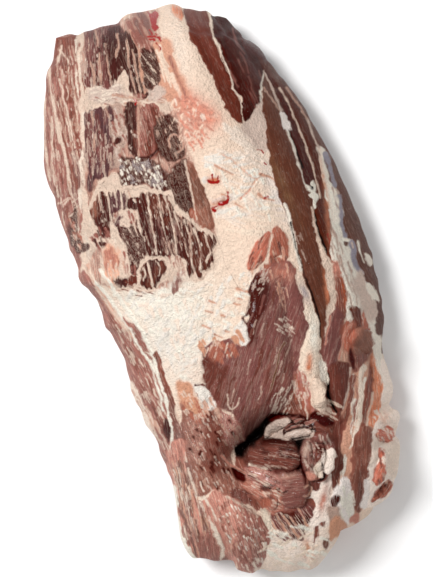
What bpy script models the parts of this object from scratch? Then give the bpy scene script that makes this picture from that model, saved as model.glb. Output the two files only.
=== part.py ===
"""A boneless pork shoulder: one piece of raw meat, lying on its outer side, cut side up.

Metres, +Z up. The piece rests on z = 0. +Y runs along its length, towards the rib end, and
+X runs across it, towards the thin layered flank. The origin is under the middle of its box.

The shape is one sheet in two parameters, a from the left side (-1) to the right side (+1)
and b from the shank end (-1) to the rib end (+1). The sheet is stretched between four side
curves, raised into a loaf with steep flanks, and then swollen and hollowed, muscle by muscle.
Below the rim, rows of the same outline are drawn in under it to a flat resting face.
"""

import math

import bmesh
import bpy
import numpy as np

MILLIMETRE = 0.001

NODE = "pork_shoulder"
COLLECTION = "boneless_pork_shoulder"

# Driving sizes, in millimetres.
LENGTH = 339.0
WIDTH = 168.5
CROWN = 82.0            # height of the loaf along its back, before the muscles are added
CROWN_FALL = 15.0       # how much lower the back is at the two ends
CROWN_PEAK = 20.0       # where along +Y the back is highest
CROWN_SPREAD = 9.0      # how much lower the back would be over the two sides
RIM_LEFT = 33.0         # height of the widest line, on the thick side
RIM_RIGHT = 22.0        # the same, on the layered flank
UNDERCUT = 20.0         # how far the resting face lies inside the widest line

# How far each flank reaches in, as a share of half the width or half the length.
FLANK_LEFT = 0.36
FLANK_RIGHT = 0.72
FLANK_RIB_END = 0.14
FLANK_SHANK_END = 0.26
FLANK_FULLNESS = 0.75   # 0.5 is round like a quarter ellipse, 1 is slack like a parabola

# The mesh: cells across, cells along, rows below the rim.
CELLS_ACROSS = 40
CELLS_ALONG = 66
RIM_ROWS = 5
EDGE_CROWDING = 0.80    # 0 spaces the rows evenly, 1 crowds them at the rim

# The four sides of the outline, seen from above, in millimetres from the middle of the box.
LEFT_SIDE = (
    (-63, -141), (-66, -130), (-63, -106), (-65, -74), (-70, -51), (-69, -36), (-75, -2), (-76, 15),
    (-83, 29), (-83, 47), (-84, 72), (-84, 95), (-78, 118), (-69, 145), (-57, 168),
)
RIGHT_SIDE = (
    (45, -143), (54, -142), (63, -131), (70, -111), (71, -92), (76, -80), (76, -62), (81, -39),
    (84, -16), (84, 7), (82, 30), (78, 57), (72, 82), (66, 102), (57, 124), (48, 138), (41, 152),
)
SHANK_END = (
    (-63, -141), (-57, -147), (-42, -152), (-39, -160), (-27, -161), (-13, -167), (-1, -169),
    (14, -161), (18, -155), (34, -150), (45, -143),
)
RIB_END = (
    (-57, 168), (-40, 166), (-20, 166), (-14, 169), (3, 168), (13, 168), (19, 163), (32, 158),
    (41, 152),
)

# Swellings (+) and hollows (-) of the cut side, in millimetres and degrees:
# name: (x, y, half length, half width, heading of the length from +X, height).
MUSCLES = {
    "fat sheet ridge": (14, 104, 62, 17, 94, 5.0),
    "rib side plateau": (-36, 104, 55, 20, 92, -4.0),
    "rib fan": (-36, 46, 26, 30, 90, 2.0),
    "sheet to strip groove": (29, 122, 40, 5, 104, -2.5),
    "upper muscle": (41, 122, 26, 9, 112, 3.0),
    "long outer strip": (58, 40, 88, 7, 101, 3.5),
    "layer groove": (67, 30, 80, 3.5, 101, -3.0),
    "fat cushion": (-36, -10, 46, 30, 100, 3.0),
    "small islands": (18, 20, 16, 10, 70, 2.0),
    "middle muscle": (9, -36, 52, 15, 80, 5.0),
    "middle muscle groove": (26, -40, 46, 4, 82, -4.0),
    "layered band": (68, -18, 30, 8, 98, 2.5),
    "round muscle end": (65, -51, 8, 8, 0, 5.0),
    "pocket": (-4, -98, 30, 22, 20, -13.0),
    "pocket slit": (-8, -86, 19, 7.5, 24, -17.0),
    "second slit": (-27, -106, 9, 6, 120, -5.0),
    "folded flap": (2, -104, 22, 9, 168, 10.0),
    "flap's lower fold": (0, -118, 20, 8, 160, 7.0),
    "gristle knobs": (22, -106, 15, 7, 84, 6.0),
    "inner muscle": (-38, -84, 36, 14, 100, 5.0),
    "shank muscle": (-31, -138, 22, 12, 112, 6.0),
    "shank groove": (-16, -132, 22, 4, 128, -4.0),
    "striated muscle": (-2, -136, 14, 9, 130, 2.5),
    "dark flank muscle": (46, -68, 28, 6, 88, 4.0),
    "flank groove": (38, -84, 44, 4, 84, -4.0),
    "outer flank muscle": (53, -112, 30, 6, 84, 4.0),
    "edge lobes": (66, -118, 20, 5, 84, 3.0),
}

LEAN_COLOUR = (0.21, 0.075, 0.055, 1.0)
LEAN_ROUGHNESS = 0.42


def smooth_curve(points, steps):
    """Return points at the given steps (0 to 1 by length) of a round curve through `points`.

    Each stretch between two points is a Catmull-Rom cubic, which leaves a point along the
    line between its two neighbours.
    """
    knots = np.array(points, dtype=float)
    padded = np.vstack([2 * knots[0] - knots[1], knots, 2 * knots[-1] - knots[-2]])
    t = np.linspace(0, 1, 12, endpoint=False)[:, None]
    pieces = []
    for i in range(1, len(padded) - 2):
        before, start, end, after = padded[i - 1:i + 3]
        pieces.append(0.5 * (
            2 * start + (end - before) * t
            + (2 * before - 5 * start + 4 * end - after) * t ** 2
            + (3 * start - before - 3 * end + after) * t ** 3
        ))
    fine = np.vstack(pieces + [knots[-1:]])
    travelled = np.concatenate([[0], np.cumsum(np.hypot(*np.diff(fine, axis=0).T))])
    where = np.asarray(steps) * travelled[-1]
    return np.stack([np.interp(where, travelled, fine[:, axis]) for axis in (0, 1)], axis=-1)


def outline_point(a, b):
    """Return where (a, b) lies in plan: the sheet stretched between the four sides.

    This is a Coons patch: the sheet ruled between left and right, plus the sheet ruled between
    the two ends, less the sheet of the four corners, which both of them hold.
    """
    u, v = (a + 1) / 2, (b + 1) / 2
    left, right = smooth_curve(LEFT_SIDE, v), smooth_curve(RIGHT_SIDE, v)
    shank, rib = smooth_curve(SHANK_END, u), smooth_curve(RIB_END, u)
    corner = [np.array(point, dtype=float) for point in
              (LEFT_SIDE[0], RIGHT_SIDE[0], LEFT_SIDE[-1], RIGHT_SIDE[-1])]
    u, v = u[:, None], v[:, None]
    corners = (
        (1 - u) * (1 - v) * corner[0] + u * (1 - v) * corner[1]
        + (1 - u) * v * corner[2] + u * v * corner[3]
    )
    return (1 - u) * left + u * right + (1 - v) * shank + v * rib - corners


def flank_rise(distance, share):
    """Return the rise over a flank: 0 at the rim, 1 past `share`, (1 - (1 - t)^2)^k between.

    k = 0.5 would be a quarter ellipse, and k = 1 a parabola. Either way the top is level.
    """
    t = np.clip(distance / share, 0, 1)
    return (1 - (1 - t) ** 2) ** FLANK_FULLNESS


def muscle_relief(x, y):
    """Return the sum of all swellings: height * exp(-(along/length)^2 - (across/width)^2)."""
    relief = np.zeros_like(x)
    for centre_x, centre_y, length, width, heading, height in MUSCLES.values():
        turn = math.radians(heading)
        along = (x - centre_x) * math.cos(turn) + (y - centre_y) * math.sin(turn)
        across = (y - centre_y) * math.cos(turn) - (x - centre_x) * math.sin(turn)
        relief += height * np.exp(-(along / length) ** 2 - (across / width) ** 2)
    return relief


def rim_height(a):
    """Return the height of the widest line, which runs evenly from one side to the other."""
    return RIM_LEFT + (RIM_RIGHT - RIM_LEFT) * (a + 1) / 2


def cut_side(a, b):
    """Return the points of the cut side: plan from the outline, height from loaf and muscles."""
    plan = outline_point(a, b)
    x, y = plan[:, 0], plan[:, 1]
    across = flank_rise(1 + a, FLANK_LEFT) * flank_rise(1 - a, FLANK_RIGHT)
    along = flank_rise(1 + b, FLANK_SHANK_END) * flank_rise(1 - b, FLANK_RIB_END)
    rise = across * along
    back = CROWN - CROWN_FALL * ((y - CROWN_PEAK) / (LENGTH / 2)) ** 2 - CROWN_SPREAD * a ** 2
    rim = rim_height(a)
    height = rim + (back - rim) * rise + muscle_relief(x, y) * rise
    return np.column_stack([x, y, height])


def under_rim(a, b, row):
    """Return the points of the rows below the rim: a quarter ellipse drawn in to the table.

    Row 0 would be the rim itself, and the last row is on z = 0, UNDERCUT further in.
    """
    turn = row / RIM_ROWS * math.pi / 2
    inset = UNDERCUT * (1 - np.cos(turn))
    plan = outline_point(a * (1 - 2 * inset / WIDTH), b * (1 - 2 * inset / LENGTH))
    height = rim_height(a) * (1 - np.sin(turn))
    return np.column_stack([plan, np.where(row >= RIM_ROWS, 0.0, height)])


def crowded(parameter):
    """Return an even parameter, -1 to 1, with its steps made finer towards both ends."""
    return (1 - EDGE_CROWDING) * parameter + EDGE_CROWDING * np.sin(parameter * math.pi / 2)


def build_cage():
    """Return a closed cage in parameters: a grid, its rim drawn down row by row, and a floor.

    A vertex at (a, b, -row) is on the cut side for row 0 and below the rim for the others.
    """
    cage = bmesh.new()
    bmesh.ops.create_grid(cage, x_segments=CELLS_ACROSS, y_segments=CELLS_ALONG, size=1.0)
    rim = [edge for edge in cage.edges if edge.is_boundary]
    for _ in range(RIM_ROWS):
        drawn = bmesh.ops.extrude_edge_only(cage, edges=rim)["geom"]
        moved = [item for item in drawn if isinstance(item, bmesh.types.BMVert)]
        rim = [item for item in drawn if isinstance(item, bmesh.types.BMEdge)
               and item.is_boundary]
        bmesh.ops.translate(cage, verts=moved, vec=(0, 0, -1))
    bmesh.ops.contextual_create(cage, geom=rim)
    return cage


def shape_vertices(mesh):
    """Carry each vertex of the cage from its parameters to its place on the meat."""
    count = len(mesh.vertices)
    flat = np.empty(count * 3)
    mesh.vertices.foreach_get("co", flat)
    a, b, row = flat.reshape(count, 3).T
    a, b, row = crowded(a), crowded(b), np.rint(-row)
    points = np.where((row > 0)[:, None], under_rim(a, b, row), cut_side(a, b))
    low, high = points.min(axis=0), points.max(axis=0)
    points[:, :2] -= (low[:2] + high[:2]) / 2
    points[:, :2] *= (WIDTH, LENGTH) / (high[:2] - low[:2])
    mesh.vertices.foreach_set("co", (points * MILLIMETRE).ravel())
    mesh.update()


def lean_material():
    """Return the material of the piece: raw lean meat, lightly wet."""
    material = bpy.data.materials.new("raw_lean")
    material.use_nodes = True
    shader = material.node_tree.nodes["Principled BSDF"]
    shader.inputs["Base Color"].default_value = LEAN_COLOUR
    shader.inputs["Roughness"].default_value = LEAN_ROUGHNESS
    shader.inputs["Metallic"].default_value = 0.0
    return material


def build_shoulder(collection):
    """Build the piece of meat as one closed solid and put it in `collection`."""
    cage = build_cage()
    mesh = bpy.data.meshes.new(NODE)
    cage.to_mesh(mesh)
    cage.free()
    shape_vertices(mesh)

    solid = bmesh.new()
    solid.from_mesh(mesh)
    bmesh.ops.recalc_face_normals(solid, faces=solid.faces)
    solid.to_mesh(mesh)
    solid.free()

    mesh.shade_smooth()
    mesh.materials.append(lean_material())
    shoulder = bpy.data.objects.new(NODE, mesh)
    collection.objects.link(shoulder)
    return shoulder


def main():
    """Clear the scene and build the pork shoulder in its own collection."""
    for item in list(bpy.data.objects):
        bpy.data.objects.remove(item, do_unlink=True)
    collection = bpy.data.collections.new(COLLECTION)
    bpy.context.scene.collection.children.link(collection)
    build_shoulder(collection)


main()
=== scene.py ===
"""A boneless pork shoulder: one raw piece of meat lying on its fat side, cut side up.

The body is one closed shell in two parameters, a across and b along. The same outline, loaf and
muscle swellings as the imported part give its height. Every point also knows where it lies on the
picture plane of the view from above, and the muscles, fat and seams are laid on it there, layer
by layer, as signed distances. The finish reads those layers and adds fibres, marbling, fat
lobules and wet gloss. The flap, the knobs and the small lobes are closed pieces of their own.

Sizes are in millimetres, and places on the picture plane are in picture steps of 0.58 mm, x to
the right and y down. Meshes are filled in metres.
"""

import logging
import math
from dataclasses import dataclass, field
from enum import Enum

import bpy
import numpy as np
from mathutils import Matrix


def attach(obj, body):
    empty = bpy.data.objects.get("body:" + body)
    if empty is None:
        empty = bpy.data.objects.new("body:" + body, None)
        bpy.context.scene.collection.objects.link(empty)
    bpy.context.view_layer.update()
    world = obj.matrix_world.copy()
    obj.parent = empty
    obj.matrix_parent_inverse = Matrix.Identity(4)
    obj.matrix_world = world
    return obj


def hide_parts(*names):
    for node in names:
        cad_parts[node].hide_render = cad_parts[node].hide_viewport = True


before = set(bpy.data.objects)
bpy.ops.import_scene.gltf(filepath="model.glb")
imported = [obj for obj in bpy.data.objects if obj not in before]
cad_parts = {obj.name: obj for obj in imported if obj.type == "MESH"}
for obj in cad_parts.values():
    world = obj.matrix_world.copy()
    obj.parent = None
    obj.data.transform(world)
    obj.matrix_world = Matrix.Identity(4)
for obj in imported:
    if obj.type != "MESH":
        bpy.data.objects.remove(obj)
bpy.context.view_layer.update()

LOG = logging.getLogger("pork_shoulder")
NODE = "pork_shoulder"
BODY = "root"
METRE = 0.001
BAKE_MAP = "OFBake"

# One picture step on the level plane, in millimetres.
STEP = 0.58
# Depths into a layer are held within this many picture steps.
FAR = 9.0
# What parts the fibre patterns of two layers.
LAYER_GAP = 3.7
# How much of the canvas's shake a line takes on.
LINE_SHAKE = 0.45
# The cells of the random table, each way.
TABLE = 64
# The power that tells the border of the resting side from its middle.
BORDER = 8

Array = np.ndarray
# A path or outline: places written as "x,y x,y ...", or rows of two.
Flat = str | Array


class Tone(Enum):
    """The colours of the raw meat in soft daylight, and how strong fibres and marbling are in it."""

    SHEET = "ead0bb", 0.5, 0.2
    SHEET_PALE = "edd9c8", 0.5, 0.2
    SHEET_PEACH = "efcfb8", 0.5, 0.2
    WHITE_FAT = "eee6d7", 0.5, 0.2
    GREY_FAT = "e6ddd2", 0.5, 0.2
    WARM_FAT = "ecd6c1", 0.5, 0.2
    LOW_FAT = "f8e6d8", 0.5, 0.2
    PINK = "dd9079", 0.5, 0.2
    FLUSH = "d8907b", 0.5, 0.2
    PEACH = "d29b82", 0.5, 0.2
    ORANGE_FAT = "c48472", 0.5, 0.2
    SOFT_ORANGE = "cd9578", 0.5, 0.2
    BAND = "e9decf", 0.5, 0.2
    BAND_LOW = "e9d5c5", 0.5, 0.2
    FILM = "8f8892", 0.5, 0.2
    SEAM = "dcc3b0", 0.5, 0.2
    PALE_SEAM = "e6d3c1", 0.5, 0.2
    LILAC = "cdb6a8", 0.5, 0.2
    DULL = "b89a8b", 0.5, 0.2
    MEMBRANE = "eee2da", 0.5, 0.2
    GRISTLE = "dbcbb8", 0.5, 0.2

    STRIP_A = "642b1e", 0.35, 0.1
    MUSCLE_B = "370b06", 0.4, 0.05
    MUSCLE_B_RIGHT = "50251d", 0.4, 0.05
    STRIP_C = "5d3325", 0.35, 0.08
    OLIVE = "6e4a34", 0.35, 0.08
    BUMP = "460d04", 0.5, 0.0
    LAYER_D = "431109", 0.4, 0.08
    LAYER_E = "4e1d0e", 0.4, 0.12
    LAYER_F = "5c3a30", 0.5, 0.12
    ROUND_END = "84594b", 0.5, 0.1
    LAYER_H = "613229", 0.45, 0.15
    MIDDLE = "734540", 0.45, 0.2
    MIDDLE_LEFT = "7b4a42", 0.5, 0.25
    MIDDLE_TOP = "ab6d5c", 0.7, 0.5
    ISLAND = "b96a56", 0.6, 0.35
    GROUND = "a87f70", 1.0, 0.7
    TAN = "b58a76", 0.9, 0.6
    LEFT = "925f54", 0.9, 0.4
    LEFT_DARK = "784438", 0.8, 0.35
    LEFT_PALE = "bf9683", 0.9, 0.5
    RIB = "683c38", 0.9, 0.35
    RIB_DARK = "421c18", 0.8, 0.2
    RIB_BROWN = "87544a", 0.9, 0.4
    WEDGE = "40201b", 0.9, 0.2
    CRISS = "602c22", 0.9, 0.25
    ROW_TWO = "573738", 0.9, 0.45
    SPECK = "3f1a14", 0.9, 0.2
    DIAGONAL = "875646", 0.6, 0.25
    DIAGONAL_DARK = "6b4336", 0.6, 0.25
    FAN = "5e3126", 0.9, 0.35
    FAN_DARK = "431913", 0.9, 0.3
    FAN_GREY = "7d5850", 0.9, 0.45
    SALMON = "cc9880", 0.5, 0.2
    INNER = "744237", 0.7, 0.2
    INNER_GLOSS = "9c6c5e", 1.0, 0.5
    INNER_LOW = "8a594b", 0.7, 0.3
    SHANK = "b47b6c", 0.9, 0.4
    # Dark flap muscle, darkened further by painted shade of the pocket it lies in.
    FLAP_SHADED = "330e09", 0.5, 0.12
    FLAP_FOLD = "6e3b31", 0.55, 0.3
    PINK_MEAT = "aa7065", 0.8, 0.45
    STRIATED = "6f3f3a", 0.9, 0.6
    LAYER_J = "7c4a3d", 0.6, 0.2
    ISLE = "9c5a48", 0.6, 0.35
    ORANGE_LEAN = "944a30", 0.5, 0.35
    ORANGE_EDGE = "cc7c5a", 0.7, 0.5
    # Very dark red: dark blood and muscle edges, and painted shade in slits, gaps, the pocket and under
    # lobes.
    DARK_RED_AND_SHADE = "3b0402", 0.5, 0.0
    # Painted shade: near black, for the slit, gaps and holes that light does not reach.
    GAP_SHADE = "0a0302", 0.2, 0.0
    BLOOD = "96100c", 0.5, 0.2

    @property
    def linear(self) -> Array:
        """The tone as linear red, green and blue."""
        shown = np.array([int(self.value[0][i:i + 2], 16) for i in (0, 2, 4)]) / 255
        return np.where(shown <= 0.04045, shown / 12.92, ((shown + 0.055) / 1.055) ** 2.4)


class Tissue(Enum):
    """What a layer is made of."""

    LEAN = "lean"
    FAT = "fat"


# --------------------------------------------------------------------------------------------
# Curves, distances and noise
# --------------------------------------------------------------------------------------------

def pairs(flat: Flat) -> Array:
    """Reads places written as x,y x,y ... as rows of two; rows stay as they are."""
    return np.array([place.split(",") for place in flat.split()], float) if isinstance(flat, str) else flat


def round_curve(knots: Array, closed: bool = False, steps: int = 5) -> Array:
    """Draws a round curve through the knots.

    Each stretch is a cubic; at a knot it runs along the mean of both sides, the nearer side counting more.

    Args:
        knots: The points to pass, one a row.
        closed: True to come back to the first knot.
        steps: The points on each stretch.

    Returns:
        The points of the curve, one a row.
    """
    if closed:
        padded = np.vstack([knots[-1:], knots, knots[:2]])
    else:
        padded = np.vstack([2 * knots[:1] - knots[1:2], knots, 2 * knots[-1:] - knots[-2:-1]])
    step = np.diff(padded, axis=0)
    length = np.maximum(np.linalg.norm(step, axis=1, keepdims=True), 1e-9)
    slope = step / length
    lean = (length[1:] * slope[:-1] + length[:-1] * slope[1:]) / (length[1:] + length[:-1])
    t = np.linspace(0, 1, steps, endpoint=False)[None, :, None]
    start, way = padded[1:-2, None], step[1:-1, None]
    leave, arrive = lean[:-1, None] * length[1:-1, None], lean[1:, None] * length[1:-1, None]
    curve = (
        start + leave * t + (3 * way - 2 * leave - arrive) * t ** 2 + (leave + arrive - 2 * way) * t ** 3
    )
    curve = curve.reshape(-1, knots.shape[1])
    return curve if closed else np.vstack([curve, knots[-1:]])


def by_length(curve: Array, shares: Array) -> Array:
    """Reads a curve at shares of its length, 0 at its start and 1 at its end."""
    steps = np.linalg.norm(np.diff(curve, axis=0), axis=1)
    travelled = np.concatenate([[0], np.cumsum(steps)])
    where = shares * travelled[-1]
    return np.stack([np.interp(where, travelled, column) for column in curve.T], axis=-1)


def nearest(points: Array, path: Array) -> tuple[Array, Array]:
    """Measures how far points are from a path of straight stretches.

    Each point is dropped on each stretch, at most to its ends, and the shortest drop counts.

    Args:
        points: The points, one a row.
        path: The path's points, one a row.

    Returns:
        Each point's distance, and the share of the path at which it meets it.
    """
    start, stretch = path[:-1], np.diff(path, axis=0)
    offset = points[:, None] - start[None]
    along = np.einsum("nkd,kd->nk", offset, stretch) / np.maximum((stretch ** 2).sum(1), 1e-9)
    along = np.clip(along, 0, 1)
    gap = np.linalg.norm(offset - along[..., None] * stretch[None], axis=2)
    best = gap.argmin(axis=1)
    rows = np.arange(len(points))
    return gap[rows, best], (best + along[rows, best]) / len(start)


def inside(points: Array, outline: Array) -> Array:
    """Tells which points lie in an outline: a line to the right crosses it an odd number of times."""
    start, end = outline, np.roll(outline, -1, axis=0)
    x, y = points[:, :1], points[:, 1:]
    spans = (start[:, 1] > y) != (end[:, 1] > y)
    rise = np.where(end[:, 1] == start[:, 1], 1e-9, end[:, 1] - start[:, 1])
    cross = start[:, 0] + (y - start[:, 1]) / rise * (end[:, 0] - start[:, 0])
    return (spans & (x < cross)).sum(axis=1) % 2 == 1


def smooth_step(value: Array, low: float, high: float) -> Array:
    """Returns 0 below low, 1 above high and 3t^2 - 2t^3 between."""
    t = np.clip((value - low) / (high - low), 0, 1)
    return t * t * (3 - 2 * t)


def lattice_noise(points: Array, size: float, seed: int) -> Array:
    """Returns a smooth random height for each point, -1 to 1.

    Random heights stand on a square lattice, and a smooth step joins them across each cell.

    Args:
        points: The points, x and y in each row.
        size: The width of a cell.
        seed: Which random heights.

    Returns:
        One height for each point.
    """
    table = np.random.default_rng(seed).uniform(-1, 1, (TABLE, TABLE))
    cell = points / size
    low = np.floor(cell).astype(int)
    share = cell - low
    share = share * share * (3 - 2 * share)
    (i, j), (next_i, next_j) = low.T % TABLE, (low + 1).T % TABLE
    u, v = share.T
    near = table[i, j] * (1 - u) + table[next_i, j] * u
    far = table[i, next_j] * (1 - u) + table[next_i, next_j] * u
    return near * (1 - v) + far * v


# --------------------------------------------------------------------------------------------
# The view and the form
# --------------------------------------------------------------------------------------------

@dataclass(frozen=True)
class View:
    """The view from above: a lens over the meat, turned about the vertical."""

    step: float = STEP
    turn: float = math.radians(16)
    middle: tuple[float, float] = (225.25, 281.35)
    shift: tuple[float, float] = (-1.195, 4.898)
    axis: tuple[float, float] = (216.5, 288.5)
    lens_height: float = 1128.0
    level: float = 28.0
    picture_height: float = 577.0

    def on_level(self, pixels: Array) -> Array:
        """Places picture points on the level plane: scaled, turned and shifted."""
        across, down = (pixels - self.middle).T
        x = self.step * (across * math.cos(self.turn) - down * math.sin(self.turn))
        y = -self.step * (across * math.sin(self.turn) + down * math.cos(self.turn))
        return np.column_stack([x, y]) + self.shift

    def lens(self) -> Array:
        """Returns where the lens is in plan."""
        return self.on_level(np.array([self.axis]))[0]

    def place(self, pixels: Array, height: Array) -> Array:
        """Places picture points at heights, along the line from the lens through the level plane."""
        reach = (self.lens_height - height) / (self.lens_height - self.level)
        plan = self.lens() + (self.on_level(pixels) - self.lens()) * reach[:, None]
        return np.column_stack([plan, height])

    def picture(self, points: Array) -> Array:
        """Returns the picture points at which points in space show: place() the other way round."""
        reach = (self.lens_height - points[:, 2]) / (self.lens_height - self.level)
        plan = self.lens() + (points[:, :2] - self.lens()) / reach[:, None]
        x, y = ((plan - self.shift) / self.step).T
        across = x * math.cos(self.turn) - y * math.sin(self.turn)
        down = -x * math.sin(self.turn) - y * math.cos(self.turn)
        return np.column_stack([across, down]) + self.middle

    def build_camera(self) -> bpy.types.Object:
        """Builds the camera at the lens, looking straight down."""
        data = bpy.data.cameras.new("overhead_camera")
        data.sensor_fit = "VERTICAL"
        data.sensor_height = 24.0
        reach = self.lens_height - self.level
        data.lens = data.sensor_height * reach / (self.picture_height * self.step)
        camera = bpy.data.objects.new("overhead_camera", data)
        camera.location = (*(self.lens() * METRE), self.lens_height * METRE)
        camera.rotation_euler = (0, 0, -self.turn)
        bpy.context.scene.collection.objects.link(camera)
        bpy.context.scene.camera = camera
        return camera


@dataclass(frozen=True)
class Form:
    """The loaf of meat: its outline on the picture plane, its height and its swellings."""

    length: float = 339.0
    width: float = 168.5
    crown: float = 82.0
    crown_fall: float = 15.0
    crown_peak: float = 20.0
    crown_spread: float = 9.0
    rim_left: float = 33.0
    rim_right: float = 22.0
    undercut: float = 20.0
    flank_left: float = 0.36
    flank_right: float = 0.72
    flank_rib: float = 0.14
    flank_shank: float = 0.26
    fullness: float = 0.75
    left_side: Flat = (
        "188,553 184,546 181,538 179,525 177,510 175,495 173,485 171,478 168,472 166,465 163,459 160,452 "
        "158,443 155,437 150,430 146,425 143,417 140,408 137,404 134,397 131,390 130,381 127,370 125,360 "
        "120,350 115,341 110,332 106,328 104,322 102,313 99,305 97,300 92,294 88,289 82,284 79,279 78,268 "
        "76,262 73,255 70,250 68,240 64,230 61,222 58,212 56,205 55,198 52,192 49,186 47,180 45,172 44,165 "
        "44,145 44,125 44,105 45,98 46,88 46,78 48,70 51,65 53,60 54,52 55,45 56,38"
    )
    right_side: Flat = (
        "372,505 380,502 386,499 391,493 393,487 394,481 396,477 398,470 399,460 400,450 399,440 396,436 "
        "398,425 400,416 398,411 392,408 389,404 391,400 393,392 393,386 390,376 387,366 384,358 382,345 "
        "383,330 384,316 382,308 382,300 379,290 378,280 375,272 373,262 372,253 369,247 366,238 362,228 "
        "359,218 355,210 351,200 347,190 343,182 339,173 336,165 332,157 328,150 323,141 319,134 315,127 "
        "310,119 306,110 302,104 299,100 295,94 290,88 284,80 278,74 276,71 271,64 267,60 265,56 261,50 "
        "256,45 250,41 243,38 241,34 234,27 228,20 226,18"
    )
    shank_end: Flat = (
        "188,553 193,558 200,558 207,559 215,561 225,560 233,561 237,569 245,572 253,573 258,570 262,569 "
        "270,571 280,571 288,572 294,571 303,569 308,570 316,567 322,561 326,556 329,550 331,541 333,538 "
        "338,533 344,529 350,527 357,522 358,518 360,513 368,509 372,505"
    )
    rib_end: Flat = (
        "56,38 62,36 70,34 78,35 84,32 92,30 100,27 110,25 118,23 121,19 126,15 133,13 141,12 150,10 155,9 "
        "160,7 166,5 172,4 177,5 183,8 191,9 200,11 207,11 210,13 213,16 218,16 226,18"
    )
    # x, y in the part's plan, half length, half width, heading in degrees, height
    swellings: dict[str, tuple[float, ...]] = field(default_factory=lambda: {
        "fat sheet ridge": (14, 104, 62, 17, 94, 5.0),
        "rib side plateau": (-36, 104, 55, 20, 92, -4.0),
        "rib fan": (-36, 46, 26, 30, 90, 2.0),
        "sheet to strip groove": (29, 122, 40, 5, 104, -2.5),
        "upper muscle": (41, 122, 26, 9, 112, 3.0),
        "long outer strip": (58, 40, 88, 7, 101, 3.5),
        "layer groove": (67, 30, 80, 3.5, 101, -3.0),
        "fat cushion": (-36, -10, 46, 30, 100, 3.0),
        "small islands": (18, 20, 16, 10, 70, 2.0),
        "middle muscle": (9, -36, 52, 15, 80, 5.0),
        "middle muscle groove": (26, -40, 46, 4, 82, -4.0),
        "layered band": (68, -18, 30, 8, 98, 2.5),
        "round muscle end": (65, -51, 8, 8, 0, 5.0),
        "pocket": (-4, -98, 30, 22, 20, -13.0),
        "pocket slit": (-8, -86, 19, 7.5, 24, -17.0),
        "second slit": (-27, -106, 9, 6, 120, -5.0),
        "folded flap": (2, -104, 22, 9, 168, 10.0),
        "flap's lower fold": (0, -118, 20, 8, 160, 7.0),
        "gristle knobs": (22, -106, 15, 7, 84, 6.0),
        "inner muscle": (-38, -84, 36, 14, 100, 5.0),
        "shank muscle": (-31, -138, 22, 12, 112, 6.0),
        "shank groove": (-16, -132, 22, 4, 128, -4.0),
        "striated muscle": (-2, -136, 14, 9, 130, 2.5),
        "dark flank muscle": (46, -68, 28, 6, 88, 4.0),
        "flank groove": (38, -84, 44, 4, 84, -4.0),
        "outer flank muscle": (53, -112, 30, 6, 84, 4.0),
        "edge lobes": (66, -118, 20, 5, 84, 3.0),
    })

    def outline_point(self, a: Array, b: Array) -> Array:
        """Returns where (a, b) lies on the picture plane.

        This is a Coons patch: the sheet ruled between left and right, plus the sheet ruled
        between the ends, less the sheet of the four corners, which both of them hold.
        """
        u, v = (a + 1) / 2, (b + 1) / 2
        sides = [by_length(round_curve(pairs(side)), share) for side, share in
                 ((self.left_side, v), (self.right_side, v), (self.shank_end, u), (self.rib_end, u))]
        left, right = pairs(self.left_side), pairs(self.right_side)
        u, v = u[:, None], v[:, None]
        corners = ((1 - v) * ((1 - u) * left[0] + u * right[0])
                   + v * ((1 - u) * left[-1] + u * right[-1]))
        return (1 - u) * sides[0] + u * sides[1] + (1 - v) * sides[2] + v * sides[3] - corners

    def flank(self, distance: Array, share: float) -> Array:
        """Returns the rise over a flank: (1 - (1 - t)^2)^fullness, 0 at the rim and 1 past share."""
        t = np.clip(distance / share, 0, 1)
        return (1 - (1 - t) ** 2) ** self.fullness

    def rise(self, a: Array, b: Array) -> Array:
        """Returns 0 on the rim and 1 on the back: the product of the four flanks."""
        return (self.flank(1 + a, self.flank_left) * self.flank(1 - a, self.flank_right)
                * self.flank(1 + b, self.flank_shank) * self.flank(1 - b, self.flank_rib))

    def rim(self, a: Array) -> Array:
        """Returns the height of the widest line, which runs evenly from side to side."""
        return self.rim_left + (self.rim_right - self.rim_left) * (a + 1) / 2

    def swelling(self, x: Array, y: Array) -> Array:
        """Sums the swellings: height * exp(-(along/length)^2 - (across/width)^2)."""
        total = np.zeros_like(x)
        for middle_x, middle_y, length, width, heading, height in self.swellings.values():
            turn = math.radians(heading)
            along = (x - middle_x) * math.cos(turn) + (y - middle_y) * math.sin(turn)
            across = (y - middle_y) * math.cos(turn) - (x - middle_x) * math.sin(turn)
            total += height * np.exp(-(along / length) ** 2 - (across / width) ** 2)
        return total

    def height(self, a: Array, b: Array, plan: Array) -> Array:
        """Returns the height of the cut side: rim, plus rise times loaf and swellings."""
        x, y = plan.T
        fall = self.crown_fall * ((y - self.crown_peak) / (self.length / 2)) ** 2
        back = self.crown - fall - self.crown_spread * a ** 2
        rim = self.rim(a)
        return rim + (back - rim + self.swelling(x, y)) * self.rise(a, b)


# --------------------------------------------------------------------------------------------
# The layers of meat and fat
# --------------------------------------------------------------------------------------------

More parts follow.
